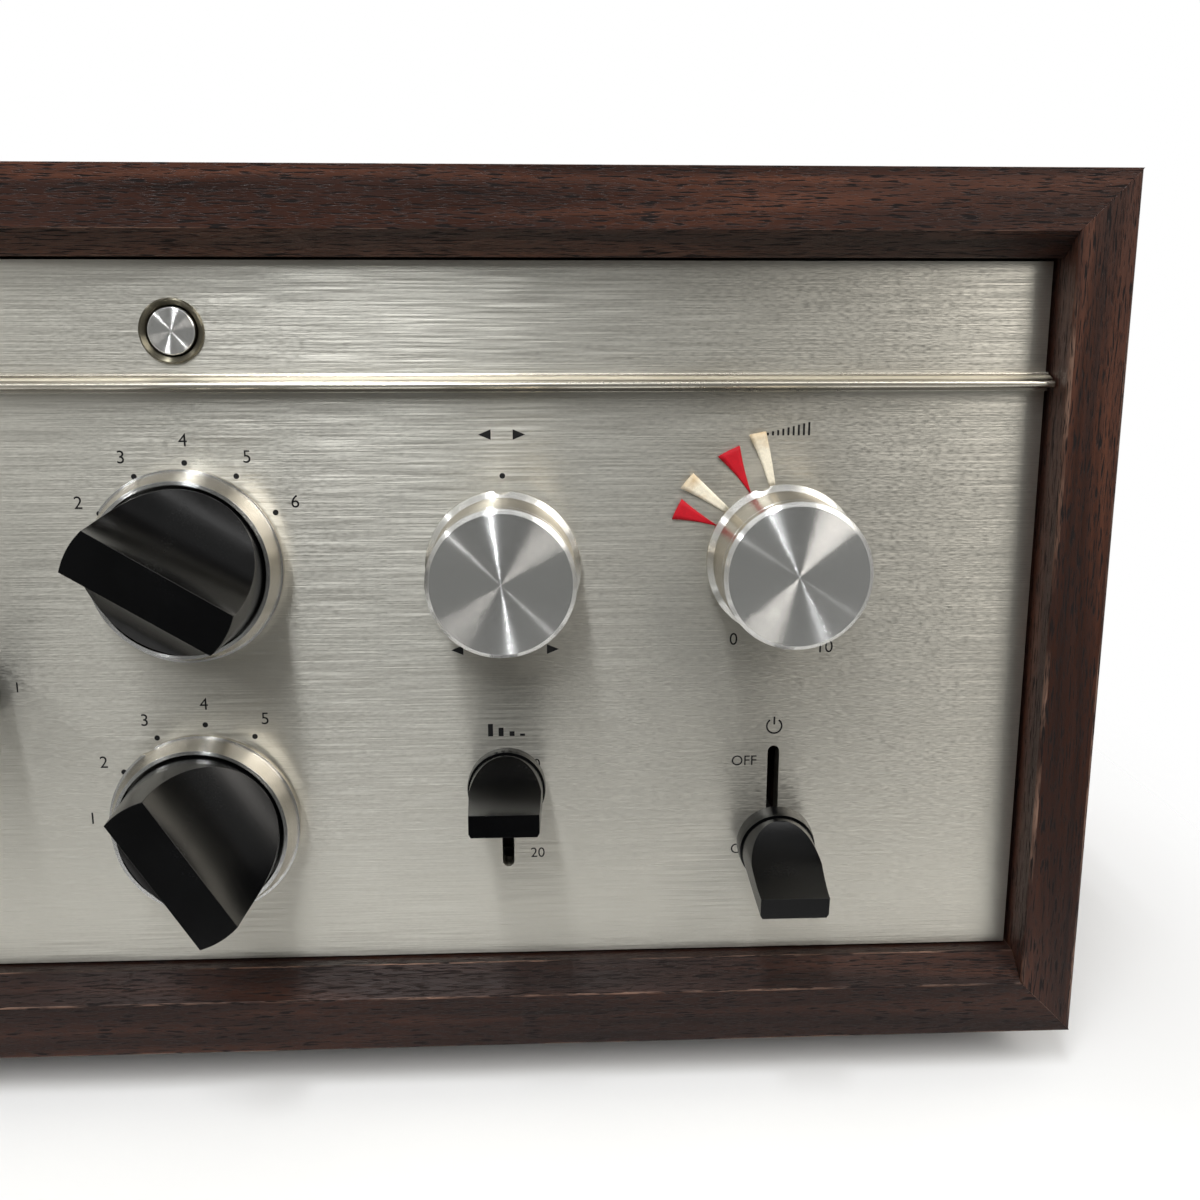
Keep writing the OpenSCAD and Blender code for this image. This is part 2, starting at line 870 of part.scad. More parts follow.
module turnover_ring() at_control(selector_places[2]) selector_ring(turnover_angle);

module turnover_shaft() at_control(selector_places[2]) control_shaft(cap_seat + cap_bore_l);

module filter_cap() at_control(selector_places[3]) selector_cap(filter_angle);

module filter_ring() at_control(selector_places[3]) selector_ring(filter_angle);

module filter_shaft() at_control(selector_places[3]) control_shaft(cap_seat + cap_bore_l);

module power_lever_cap() at_control(lever_places[0]) lever_cap(-lever_swing);

module power_lever_arm() at_control(lever_places[0]) lever_arm(-lever_swing);

module attenuator_lever_cap() at_control(lever_places[1]) lever_cap(lever_swing);

module attenuator_lever_arm() at_control(lever_places[1]) lever_arm(lever_swing);

module low_cut_lever_cap() at_control(lever_places[2]) lever_cap(lever_swing);

module low_cut_lever_arm() at_control(lever_places[2]) lever_arm(lever_swing);

module high_cut_lever_cap() at_control(lever_places[3]) lever_cap(lever_swing);

module high_cut_lever_arm() at_control(lever_places[3]) lever_arm(lever_swing);

module tape_lever_cap() at_control(lever_places[4]) lever_cap(0);

module tape_lever_arm() at_control(lever_places[4]) lever_arm(0);

module dub_lever_cap() at_control(lever_places[5]) lever_cap(0);

module dub_lever_arm() at_control(lever_places[5]) lever_arm(0);

module push_button()
    color(silver)
        at_control([button_col, button_row]) {
            translate([0, 0, button_proud - button_cap_l])
                cylinder(r = button_r, h = button_cap_l);
            translate([0, 0, sub_back - stem_in])
                cylinder(r = stem_r, h = button_proud - over - sub_back + stem_in);
        }

// Ring with a dished inside and a tube through the panel.
module button_bezel()
    color(bakelite)
        at_control([button_col, button_row])
            rotate_extrude()
                polygon([
                    [bezel_bore_r, panel_back], [bezel_tube_r, panel_back], [bezel_tube_r, 0],
                    [bezel_r, 0], [bezel_r, bezel_proud - bezel_edge],
                    [bezel_r - bezel_edge, bezel_proud], [bezel_r - 2 * bezel_edge, bezel_proud],
                    [bezel_bore_r, -bezel_sink]
                ]);

module push_switch()
    color(bakelite)
        at_control([button_col, button_row])
            difference() {
                translate([-push_body_w / 2, -push_body_w / 2, sub_back - push_body_l])
                    cube([push_body_w, push_body_w, push_body_l]);
                translate([0, 0, sub_back - stem_room])
                    cylinder(r = stem_r + run_clear, h = stem_room + over);
            }

// Threaded bush in front of a control's body.
module control_bush()
    translate([0, 0, sub_back - over])
        cylinder(r = bush_r, h = bush_front - sub_back + over);

module shaft_bore()
    translate([0, 0, sub_back - shaft_tail])
        cylinder(r = shaft_r + run_clear, h = shaft_tail + bush_front - sub_back + over);

module potentiometers()
    color(steel)
        for (place = knob_places)
            at_control(place)
                difference() {
                    union() {
                        control_bush();
                        translate([0, 0, sub_back - pot_l])
                            cylinder(r = pot_r, h = pot_l);
                        translate([-lug_w / 2, -pot_r - lug_l, sub_back - pot_l / 2])
                            cube([lug_w, pot_r, lug_t]);
                    }
                    shaft_bore();
                }

module rotary_switches()
    color(bakelite)
        for (place = selector_places)
            at_control(place)
                difference() {
                    union() {
                        control_bush();
                        translate([0, 0, sub_back - index_l])
                            cylinder(r = index_r, h = index_l);
                        for (x = [-rod_x, rod_x])
                            translate([x, 0, sub_back - index_l - wafer_count * wafer_pitch])
                                cylinder(r = rod_r, h = wafer_count * wafer_pitch + over);
                        for (i = [1 : wafer_count])
                            translate([0, 0, sub_back - index_l - i * wafer_pitch])
                                cylinder(r = wafer_r, h = wafer_t);
                    }
                    shaft_bore();
                }

// Frame behind each slot: a plate on the sub-panel, two cheeks with the pivot pin, a contact block.
module lever_switches() {
    cheek_l = pivot_depth + cheek_h / 2 + sub_back;
    color(bakelite)
        for (place = lever_places)
            at_control(place) {
                translate([0, 0, sub_back - cheek_t])
                    linear_extrude(cheek_t)
                        difference() {
                            square([lever_plate_w, lever_plate_h], center = true);
                            square([hub_w, lever_window_h], center = true);
                        }
                for (x = [-lever_body_w / 2, lever_body_w / 2 - cheek_t])
                    translate([x, -cheek_h / 2, -pivot_depth - cheek_h / 2])
                        cube([cheek_t, cheek_h, cheek_l]);
                translate([-lever_body_w / 2, 0, -pivot_depth])
                    rotate([0, 90, 0])
                        cylinder(r = pivot_r, h = lever_body_w);
                translate([-lever_body_w / 2, -lever_block_h / 2, -pivot_depth - cheek_h / 2 - lever_block_l])
                    cube([lever_body_w, lever_block_h, lever_block_l]);
            }
}

module control_nuts()
    color(brass)
        for (place = concat(knob_places, selector_places))
            at_control(place)
                translate([0, 0, sub_front])
                    difference() {
                        cylinder(d = nut_w, h = nut_h, $fn = 6);
                        translate([0, 0, -over])
                            cylinder(r = bush_r + seat_clear, h = nut_h + 2 * over);
                    }

module transformer_core()
    color(steel)
        translate([core_x * col_scale, core_y, tray_z + core_h / 2])
            difference() {
                cube([core_w, core_t, core_h], center = true);
                for (side = [-1, 1])
                    translate([side * (leg_w + window_w) / 2, 0, 0])
                        cube([window_w, core_t + 2 * over, window_h], center = true);
            }

// Winding around the core's middle leg, through both windows.
module transformer_coil() {
    inner = [leg_w + 2 * core_gap, core_t + 2 * core_gap, core_h];
    winding = 2 * (window_w - 2 * core_gap);
    color(copper)
        translate([core_x * col_scale, core_y, tray_z + core_h / 2])
            difference() {
                cube([inner[0] + winding, inner[1] + winding, window_h - 2 * core_gap], center = true);
                cube(inner, center = true);
            }
}

module filter_capacitors()
    color(silver)
        for (i = [0 : can_count - 1])
            translate([can_x0 * col_scale + i * can_pitch, can_y, tray_z]) {
                cylinder(r = can_r, h = can_h);
                cylinder(r = can_rim_r, h = can_h + can_rim_h);
            }

module at_tubes()
    for (i = [0 : tube_count - 1])
        translate([(i - (tube_count - 1) / 2) * tube_pitch, tube_y, tray_z])
            children();

module tubes()
    color(glass)
        at_tubes()
            translate([0, 0, tube_socket_h]) {
                cylinder(r = tube_r, h = tube_h - tube_r);
                translate([0, 0, tube_h - tube_r])
                    sphere(r = tube_r);
            }

module tube_sockets()
    color(ceramic)
        at_tubes()
            difference() {
                cylinder(r = tube_socket_r, h = tube_socket_h);
                translate([0, 0, -over])
                    cylinder(r = tube_key_r, h = tube_socket_h + 2 * over);
            }

module at_sockets()
    for (i = [0 : socket_cols - 1], height = socket_rows)
        at_rear(socket_x0 * col_scale + i * socket_pitch, height)
            children();

module phono_sockets()
    color(silver)
        at_sockets()
            difference() {
                union() {
                    cylinder(r = socket_flange_r, h = socket_flange_t);
                    cylinder(r = socket_r, h = socket_flange_t + socket_l);
                    translate([0, 0, -socket_stem_l])
                        cylinder(r = socket_stem_r, h = socket_stem_l + over);
                }
                translate([0, 0, socket_flange_t + socket_l - socket_pin_l])
                    cylinder(r = socket_pin_r, h = socket_pin_l + over);
            }

module at_outlets()
    for (i = [0 : outlet_count - 1])
        at_rear(outlet_x0 * col_scale - i * outlet_pitch, outlet_z)
            children();

// Size of an outlet's body behind the rear panel.
function outlet_body(size) = size - 2 * outlet_rim;

module mains_outlets()
    color(bakelite)
        at_outlets()
            difference() {
                union() {
                    linear_extrude(outlet_t)
                        square([outlet_w, outlet_h], center = true);
                    translate([0, 0, -outlet_back])
                        linear_extrude(outlet_back + over)
                            square([outlet_body(outlet_w), outlet_body(outlet_h)], center = true);
                }
                for (side = [-1, 1])
                    translate([side * outlet_slot_gap / 2, 0, outlet_t - outlet_slot_l])
                        linear_extrude(outlet_slot_l + over)
                            square([outlet_slot_w, outlet_slot_h], center = true);
            }

module fuse_holder()
    color(satin_black)
        at_rear(fuse_x * col_scale, fitting_z)
            difference() {
                union() {
                    cylinder(r = fuse_flange_r, h = fuse_flange_t);
                    translate([0, 0, -fuse_back])
                        cylinder(r = fuse_r, h = fuse_back + fuse_flange_t + fuse_cap_l);
                }
                translate([0, 0, fuse_flange_t + fuse_cap_l])
                    cube([fuse_slot_w, 3 * fuse_r, 2 * fuse_slot_h], center = true);
            }

module ground_post()
    color(silver)
        at_rear(post_x * col_scale, fitting_z) {
            translate([0, 0, -post_l / 2])
                cylinder(r = post_r, h = post_l * 3 / 2);
            cylinder(r = post_base_r, h = post_base_t);
            translate([0, 0, post_nut_z])
                cylinder(r = post_nut_r, h = post_nut_l);
        }

module cord_bushing()
    color(rubber)
        at_rear(bushing_x * col_scale, fitting_z)
            difference() {
                union() {
                    cylinder(r = bushing_flange_r, h = bushing_flange_t);
                    translate([0, 0, -bushing_back])
                        cylinder(r = bushing_r, h = bushing_back + over);
                }
                translate([0, 0, -bushing_back - over])
                    cylinder(r = cord_hole_r, h = bushing_back + bushing_flange_t + 2 * over);
            }

case_top();
case_bottom();
case_left();
case_right();
feet();
screws();
front_panel();
trim_strip();
sub_panel();
chassis();
rear_panel();
volume_knob();
volume_shaft();
balance_knob();
balance_shaft();
bass_knob();
bass_shaft();
treble_knob();
treble_shaft();
input_cap();
input_ring();
input_shaft();
mode_cap();
mode_ring();
mode_shaft();
turnover_cap();
turnover_ring();
turnover_shaft();
filter_cap();
filter_ring();
filter_shaft();
power_lever_cap();
power_lever_arm();
attenuator_lever_cap();
attenuator_lever_arm();
low_cut_lever_cap();
low_cut_lever_arm();
high_cut_lever_cap();
high_cut_lever_arm();
tape_lever_cap();
tape_lever_arm();
dub_lever_cap();
dub_lever_arm();
push_button();
button_bezel();
push_switch();
potentiometers();
rotary_switches();
lever_switches();
control_nuts();
transformer_core();
transformer_coil();
filter_capacitors();
tubes();
tube_sockets();
phono_sockets();
mains_outlets();
fuse_holder();
ground_post();
cord_bushing();
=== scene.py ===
import json
import math

import bmesh
import bpy
from mathutils import Matrix, Quaternion, Vector


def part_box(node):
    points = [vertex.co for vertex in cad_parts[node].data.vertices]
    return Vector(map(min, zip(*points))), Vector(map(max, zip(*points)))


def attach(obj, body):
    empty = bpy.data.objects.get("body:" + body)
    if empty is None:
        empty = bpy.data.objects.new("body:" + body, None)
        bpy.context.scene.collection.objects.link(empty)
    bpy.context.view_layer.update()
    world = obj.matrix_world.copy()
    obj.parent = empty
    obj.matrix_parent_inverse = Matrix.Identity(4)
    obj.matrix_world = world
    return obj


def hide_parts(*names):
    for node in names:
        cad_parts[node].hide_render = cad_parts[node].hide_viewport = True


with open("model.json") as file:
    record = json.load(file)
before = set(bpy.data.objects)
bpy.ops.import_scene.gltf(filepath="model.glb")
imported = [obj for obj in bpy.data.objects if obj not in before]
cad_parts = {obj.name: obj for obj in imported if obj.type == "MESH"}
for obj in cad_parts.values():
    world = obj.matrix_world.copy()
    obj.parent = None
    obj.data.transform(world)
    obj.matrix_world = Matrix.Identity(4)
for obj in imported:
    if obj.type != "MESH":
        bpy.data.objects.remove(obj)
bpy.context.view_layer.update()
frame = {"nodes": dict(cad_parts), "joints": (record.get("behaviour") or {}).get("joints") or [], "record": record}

MM = 0.001
SCENE = bpy.context.scene
NODES = frame["nodes"]
BODIES = frame["record"]["behaviour"]["bodies"]
BODY_OF = {node: body for body, nodes in BODIES.items() for node in nodes}
SLOT_OF = {part["node"]: part["material_slot"] for part in frame["record"]["subparts"]}
AXIS_OF = {joint["child"]: Vector(joint["pos_m"]) for joint in frame["joints"] if "pos_m" in joint}
CASE_BOX = [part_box("case_bottom")[0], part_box("case_top")[1]]
PANEL_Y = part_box("front_panel")[0].y


class Tree:
    """A node tree, with short ways to add and join its nodes."""

    def __init__(self, tree):
        self.tree = tree

    def put(self, value, socket):
        if isinstance(value, bpy.types.NodeSocket):
            self.tree.links.new(value, socket)
        else:
            socket.default_value = value

    def add(self, kind, inputs, **settings):
        node = self.tree.nodes.new("ShaderNode" + kind)
        for key, value in settings.items():
            setattr(node, key, value)
        for key, value in inputs.items():
            self.put(value, node.inputs[key])
        return node

    def math(self, kind, first, second):
        return self.add("Math", {0: first, 1: second}, operation=kind).outputs[0]

    def vector(self, kind, *values, output=0):
        return self.add("VectorMath", dict(enumerate(values)), operation=kind).outputs[output]

    def spread(self, value, low, high, to_low=0, to_high=1, **settings):
        inputs = {"Value": value, "From Min": low, "From Max": high, "To Min": to_low, "To Max": to_high}
        return self.add("MapRange", inputs, **settings).outputs["Result"]


class Shader(Tree):
    """The node tree of one material and its surface."""

    def __init__(self, name, **surface):
        self.material = bpy.data.materials.new(name)
        self.material.use_nodes = True
        super().__init__(self.material.node_tree)
        self.surface = self.tree.nodes["Principled BSDF"]
        self.set(**surface)

    def set(self, **surface):
        for key, value in surface.items():
            self.put(value, self.surface.inputs[key.replace("_", " ")])

    def place(self, scale=(1, 1, 1)):
        where = self.add("TexCoord", {}).outputs["Object"]
        return self.add("Mapping", {"Vector": where, "Scale": scale}).outputs["Vector"]

    def noise(self, scale, stretch=(1, 1, 1), detail=3, rough=0.55, twist=0):
        inputs = {"Vector": self.place(stretch), "Scale": scale, "Detail": detail,
                  "Roughness": rough, "Distortion": twist}
        return self.add("TexNoise", inputs).outputs["Fac"]

    def rings(self, scale):
        """Noise in rings round the object's Y axis, which go on down its sides."""
        where = self.add("TexCoord", {}).outputs["Object"]
        radius = self.vector("LENGTH", self.place((1, 0, 1)), output=1)
        depth = self.add("SeparateXYZ", {"Vector": where}).outputs["Y"]
        inputs = {"W": self.math("ADD", radius, depth), "Scale": scale}
        return self.add("TexNoise", inputs, noise_dimensions="1D").outputs["Fac"]

    def ramp(self, value, *stops):
        node = self.add("ValToRGB", {"Fac": value})
        points = node.color_ramp.elements
        while len(points) < len(stops):
            points.new(1)
        for point, (at, colour) in zip(points, stops):
            point.position = at
            point.color = (*colour, 1)
        return node.outputs["Color"]

    def mix(self, share, first, second):
        node = self.add("Mix", {}, data_type="RGBA")
        for socket, value in zip((0, 6, 7), (share, first, second)):
            is_colour = not isinstance(value, (float, bpy.types.NodeSocket))
            self.put((*value, 1) if is_colour else value, node.inputs[socket])
        return node.outputs[2]

    def bump(self, height, distance, strength=1):
        node = self.add("Bump", {"Height": height, "Distance": distance, "Strength": strength})
        for link in self.surface.inputs["Normal"].links:
            self.put(link.from_socket, node.inputs["Normal"])
        self.set(Normal=node.outputs["Normal"])

    def grooves(self, axis, across, along, pull):
        """Fine grooves round an axis, or along X on a flat front for the Z axis: they lean the surface
        across and along themselves, and draw its reflections out across them."""
        tangent = self.add("Tangent", {}, direction_type="RADIAL", axis=axis).outputs["Tangent"]
        normal = self.add("NewGeometry", {}).outputs["Normal"]
        side = self.vector("NORMALIZE", self.vector("CROSS_PRODUCT", normal, tangent))
        line = self.vector("CROSS_PRODUCT", side, normal)
        leans = [self.vector("MULTIPLY", way, self.add("CombineXYZ", {0: by, 1: by, 2: by}).outputs[0])
                 for way, by in ((side, across), (line, along))]
        leant = self.vector("ADD", normal, self.vector("ADD", *leans))
        self.set(Normal=self.vector("NORMALIZE", leant), Tangent=tangent, Anisotropic=pull,
                 Anisotropic_Rotation=0.25)


def scaled(colour, share):
    return tuple(min(1, share * c) for c in colour)


def worn_metal(name, colour, tarnish, rough, stretch, dull=0.5):
    """Plated or turned metal: fine tool lines, clouds of tarnish and small pits."""
    s = Shader(name, Metallic=1)
    lines = s.noise(1, stretch, detail=3)
    cloud = s.noise(55, detail=6, rough=0.62, twist=0.4)
    pits = s.spread(s.noise(1400, detail=2), 0.66, 0.74)
    ground = s.ramp(lines, (0.3, scaled(colour, 0.84)), (0.7, scaled(colour, 1.12)))
    ground = s.mix(s.spread(cloud, 0.45, 0.75, 0, dull), ground, tarnish)
    s.set(Base_Color=s.mix(pits, ground, scaled(tarnish, 0.6)),
          Roughness=s.math("ADD", s.spread(lines, 0.3, 0.7, rough - 0.07, rough + 0.07),
                           s.spread(cloud, 0.45, 0.75, 0, 0.16)))
    s.bump(s.math("SUBTRACT", lines, pits), 0.006 * MM)
    return s.material


def zinc(name, colour, rough):
    """Zinc-plated sheet: crystal patches, rolling lines and a faint yellow bloom."""
    s = Shader(name, Metallic=1)
    crystals = s.add("TexVoronoi", {"Vector": s.place(), "Scale": 260}).outputs["Color"]
    patch = s.add("SeparateColor", {"Color": crystals}).outputs["Red"]
    lines = s.noise(1, (90, 2600, 2600), detail=3)
    bloom = s.noise(24, detail=5, twist=0.5)
    ground = s.ramp(patch, (0.1, scaled(colour, 0.86)), (0.9, scaled(colour, 1.1)))
    ground = s.mix(s.spread(bloom, 0.45, 0.7, 0, 0.4), ground, (0.5, 0.44, 0.27))
    s.set(Base_Color=ground, Roughness=s.math("ADD", s.spread(patch, 0, 1, rough - 0.08, rough + 0.05),
                                              s.spread(lines, 0.3, 0.7, -0.04, 0.06)))
    s.bump(lines, 0.008 * MM)
    return s.material


def enamel(name, colour, dust):
    """Hammered enamel on steel: shallow dimples, fine orange peel and dust lying on it."""
    s = Shader(name, Specular_IOR_Level=0.45)
    cells = s.add("TexVoronoi", {"Vector": s.place(), "Scale": 620}, feature="SMOOTH_F1")
    dimples = cells.outputs["Distance"]
    peel = s.noise(2400, detail=2)
    cloud = s.noise(38, detail=6, rough=0.65)
    specks = s.spread(s.noise(1700, detail=3), 0.64, 0.72, 0, 0.7)
    ground = s.ramp(dimples, (0.15, scaled(colour, 1.25)), (0.6, scaled(colour, 0.75)))
    ground = s.mix(s.spread(cloud, 0.46, 0.74, 0, 0.3), ground, dust)
    s.set(Base_Color=s.mix(specks, ground, dust), Roughness=s.spread(cloud, 0.35, 0.7, 0.34, 0.58))
    s.bump(s.math("ADD", dimples, s.spread(peel, 0, 1, 0, 0.15)), 0.12 * MM, 0.6)
    return s.material


def rubber(name, colour, dust):
    """Moulded rubber: a fine matt grain, scuffs and grey dust."""
    s = Shader(name, Specular_IOR_Level=0.3)
    grain = s.noise(3200, detail=2)
    scuffs = s.spread(s.noise(1, (60, 500, 900), detail=4), 0.54, 0.72)
    cloud = s.noise(110, detail=5)
    ground = s.ramp(grain, (0.3, scaled(colour, 0.8)), (0.7, scaled(colour, 1.25)))
    ground = s.mix(s.spread(cloud, 0.45, 0.75, 0, 0.35), ground, dust)
    s.set(Base_Color=s.mix(s.spread(scuffs, 0, 1, 0, 0.4), ground, scaled(dust, 1.3)),
          Roughness=s.spread(grain, 0.3, 0.7, 0.58, 0.8))
    s.bump(grain, 0.03 * MM)
    return s.material


def moulded(name, colour, swirl, rough):
    """Hard pressed resin: drawn-out swirls of a second colour under a worn gloss."""
    s = Shader(name, Specular_IOR_Level=0.5)
    flow = s.noise(85, (1, 2.4, 1), detail=6, rough=0.6, twist=2.2)
    fill = s.spread(s.noise(2100, detail=2), 0.62, 0.7, 0, 0.6)
    haze = s.noise(130, detail=4)
    ground = s.ramp(flow, (0.35, scaled(colour, 0.8)), (0.52, colour), (0.68, swirl))
    s.set(Base_Color=s.mix(fill, ground, scaled(swirl, 1.2)),
          Roughness=s.spread(haze, 0.35, 0.7, rough - 0.08, rough + 0.14))
    s.bump(s.noise(700, detail=3), 0.01 * MM)
    return s.material


def laminated(name, colour, edge):
    """Stacked iron sheets under thin varnish: a line at every sheet, with rust in places."""
    s = Shader(name, Metallic=0.6)
    sheets = s.noise(1, (40, 2600, 40), detail=0)
    rust = s.spread(s.noise(120, detail=6, rough=0.65), 0.56, 0.72)
    ground = s.ramp(sheets, (0.35, scaled(colour, 0.45)), (0.48, colour), (0.7, edge))
    s.set(Base_Color=s.mix(s.spread(rust, 0, 1, 0, 0.75), ground, (0.16, 0.06, 0.026)),
          Roughness=s.spread(rust, 0, 1, 0.38, 0.75))
    s.bump(sheets, 0.06 * MM)
    return s.material


def wound(name, colour, gap):
    """Varnished wire wound in close turns round the Z axis."""
    s = Shader(name, Metallic=0.55, Coat_Weight=0.4, Coat_Roughness=0.2)
    turns = s.add("TexWave", {"Vector": s.place(), "Scale": 420, "Distortion": 1.4, "Detail": 2},
                  bands_direction="Z").outputs["Fac"]
    cloud = s.noise(90, detail=5)
    ground = s.ramp(turns, (0.08, gap), (0.4, colour), (0.9, scaled(colour, 1.3)))
    s.set(Base_Color=s.mix(s.spread(cloud, 0.45, 0.7, 0, 0.5), ground, scaled(gap, 1.6)),
          Roughness=s.spread(cloud, 0.3, 0.7, 0.28, 0.44))
    s.bump(turns, 0.12 * MM)
    return s.material


def glass(name, tint, low, high):
    """Clear tube glass with drawn ripples, a film of dust and a silvered top between two heights."""
    s = Shader(name, IOR=1.5)
    ripples = s.noise(140, (1, 1, 0.3), detail=2)
    film = s.noise(420, detail=5)
    height = s.add("SeparateXYZ", {"Vector": s.place()}).outputs["Z"]
    wavy = s.math("ADD", height, s.spread(ripples, 0.3, 0.7, -1.5 * MM, 1.5 * MM))
    silver = s.spread(wavy, low, high)
    dusty = s.ramp(film, (0.4, tint), (0.75, scaled(tint, 0.82)))
    s.set(Base_Color=s.mix(silver, dusty, (0.34, 0.33, 0.31)),
          Metallic=silver, Transmission_Weight=s.spread(silver, 0, 1, 0.95, 0),
          Roughness=s.spread(film, 0.4, 0.75, 0.02, 0.12))
    s.bump(ripples, 0.05 * MM)
    return s.material


def glazed(name, colour, stain):
    """Glazed ceramic: fine crackle, brown specks and a soft unevenness."""
    s = Shader(name, Specular_IOR_Level=0.55)
    crackle = s.add("TexVoronoi", {"Vector": s.place(), "Scale": 900}, feature="DISTANCE_TO_EDGE")
    cracks = s.spread(crackle.outputs["Distance"], 0.02, 0.06, 0.5, 0)
    specks = s.spread(s.noise(1500, detail=2), 0.66, 0.72, 0, 0.7)
    cloud = s.noise(160, detail=4)
    ground = s.ramp(cloud, (0.3, scaled(colour, 0.9)), (0.7, scaled(colour, 1.06)))
    s.set(Base_Color=s.mix(s.math("MAXIMUM", cracks, specks), ground, stain),
          Roughness=s.spread(cloud, 0.3, 0.7, 0.16, 0.3))
    s.bump(cloud, 0.03 * MM)
    return s.material


def wood(name, grain, tone_and_shade, sheen, worn=False):
    """Oiled dark rosewood with its fibres along one axis: bands, fibres and long open pores. Worn wood, for
    the edges, has paler patches."""
    s = Shader(name, Specular_IOR_Level=sheen)

    def fibres(length, width, **kind):
        stretch = [1 / width] * 3
        stretch["XYZ".index(grain)] = 1 / length
        return s.noise(1, stretch, **kind)

    bands = fibres(0.12, 0.007, detail=4, twist=0.8)
    fine = fibres(0.02, 0.0006, detail=3)
    wide_pores = s.spread(fibres(0.0045, 0.00034, detail=2, rough=0.4), 0.56, 0.63)
    thin_pores = s.spread(fibres(0.0026, 0.00018, detail=1, rough=0.4), 0.58, 0.68, 0, 0.8)
    pores = s.math("MAXIMUM", wide_pores, thin_pores)
    # The board's tone scales the ground colour; on the bottom board it is lowered as painted shade.
    ground = s.ramp(bands, (0.3, scaled((0.009, 0.003, 0.0018), tone_and_shade)),
                    (0.5, scaled((0.038, 0.0125, 0.0068), tone_and_shade)),
                    (0.7, scaled((0.1, 0.036, 0.02), tone_and_shade)))
    ground = s.mix(s.spread(fine, 0.35, 0.75, 0.0, 0.5), ground, (0.02, 0.008, 0.006))
    if worn:
        patches = s.spread(s.noise(45, detail=4), 0.42, 0.66)
        ground = s.mix(patches, ground, (0.17, 0.1, 0.072))
    s.set(Base_Color=s.mix(pores, ground, (0.006, 0.0032, 0.003)),
          Roughness=s.math("MAXIMUM", s.spread(fine, 0.3, 0.75, 0.34, 0.48),
                           s.spread(pores, 0, 1, 0, 0.85)))
    s.bump(s.math("SUBTRACT", s.spread(fine, 0, 1, 0, 0.25), pores), 0.1 * MM, 0.7)
    return s.material


def brushed(name, colour, rough, lean, seams=()):
    """Metal brushed along X: fine lines of uneven length that lean it and vary its colour and gloss. Painted
    shade darkens its seams, which are given by their heights, and between the first two it is more matt."""
    s = Shader(name, Metallic=1)
    long_lines = s.noise(1, (55, 1, 4700), detail=1)
    dashes = s.noise(1, (750, 1, 5000), detail=1)
    cloud = s.noise(11, detail=4)
    tint = s.ramp(long_lines, (0.3, scaled(colour, 0.92)), (0.7, scaled(colour, 1.08)))
    tint = s.mix(s.spread(dashes, 0.3, 0.7, 0, 0.4), tint, scaled(colour, 1.2))
    tint = s.mix(s.spread(cloud, 0.4, 0.65, 0, 0.3), tint, scaled(colour, 0.84))
    height = s.add("SeparateXYZ", {"Vector": s.place()}).outputs["Z"]
    # Painted shade: a dark line is laid along each seam, where the trim's creases and the underside of its bead
    # lie in shade.
    for seam in seams:
        gap = s.math("ABSOLUTE", s.math("SUBTRACT", height, seam), 0)
        near = s.spread(gap, 0.06 * MM, 0.2 * MM, 1, 0)
        painted_seam_shade = s.math("MULTIPLY", near, s.spread(s.noise(1, (60, 1, 1), detail=2), 0.3, 0.7, 0.5, 0.85))
        tint = s.mix(painted_seam_shade, tint, (0.09, 0.07, 0.045))
    gloss = s.math("ADD", s.spread(cloud, 0.3, 0.7, rough - 0.03, rough + 0.03),
                   s.spread(dashes, 0.3, 0.7, -0.7 * lean, 0.7 * lean))
    if seams:
        matt = s.math("MULTIPLY", s.math("LESS_THAN", height, seams[0]),
                      s.math("GREATER_THAN", height, seams[1]))
        gloss = s.math("ADD", gloss, s.spread(matt, 0, 1, 0, 0.2))
    s.set(Base_Color=tint, Roughness=gloss)
    s.grooves("Z", s.spread(long_lines, 0.3, 0.7, -1.5 * lean, 1.5 * lean),
              s.spread(dashes, 0.3, 0.7, -0.3 * lean, 0.3 * lean), 0.75)
    return s.material


def spun(name, colour, painted_side_reflection, rough):
    """Turned metal: a fine grain that leans it across its rings, uneven rings of colour and gloss, sides
    tinted darker and warmer as a painted reflection of the champagne panel, and a few nicks."""
    s = Shader(name, Metallic=1)
    lines = s.noise(45000, detail=0)
    wide = s.rings(2600)
    nicks = s.spread(s.noise(1900, detail=1), 0.76, 0.82)
    facing = s.add("SeparateXYZ", {"Vector": s.add("NewGeometry", {}).outputs["Normal"]}).outputs["Y"]
    # Painted reflection: the sides, turned across the Y axis, take the darker, warmer side colour as the
    # reflection of the champagne panel.
    ground = s.mix(s.spread(s.math("ABSOLUTE", facing, 0), 0.2, 0.6), painted_side_reflection, colour)
    tint = s.mix(s.spread(wide, 0.3, 0.7, 0, 0.12), ground, scaled(colour, 0.6))
    s.set(Base_Color=s.mix(nicks, tint, scaled(colour, 0.6)),
          Roughness=s.spread(wide, 0.3, 0.7, rough - 0.006, rough + 0.006))
    s.grooves("Y", s.spread(lines, 0.3, 0.7, -0.32, 0.32), 0, 1)
    return s.material


def satin_black(name, colour, rough):
    """Satin moulding with a fine grain and faint handling smears."""
    s = Shader(name, Specular_IOR_Level=0.24)
    grain = s.noise(2600, detail=2)
    smear = s.noise(70, detail=4, twist=0.6)
    s.set(Base_Color=s.ramp(smear, (0.35, scaled(colour, 0.8)), (0.7, scaled(colour, 1.3))),
          Roughness=s.math("ADD", s.spread(grain, 0.3, 0.7, rough - 0.03, rough + 0.03),
                           s.spread(smear, 0.35, 0.7, -0.03, 0.04)))
    s.bump(grain, 0.004 * MM)
    return s.material
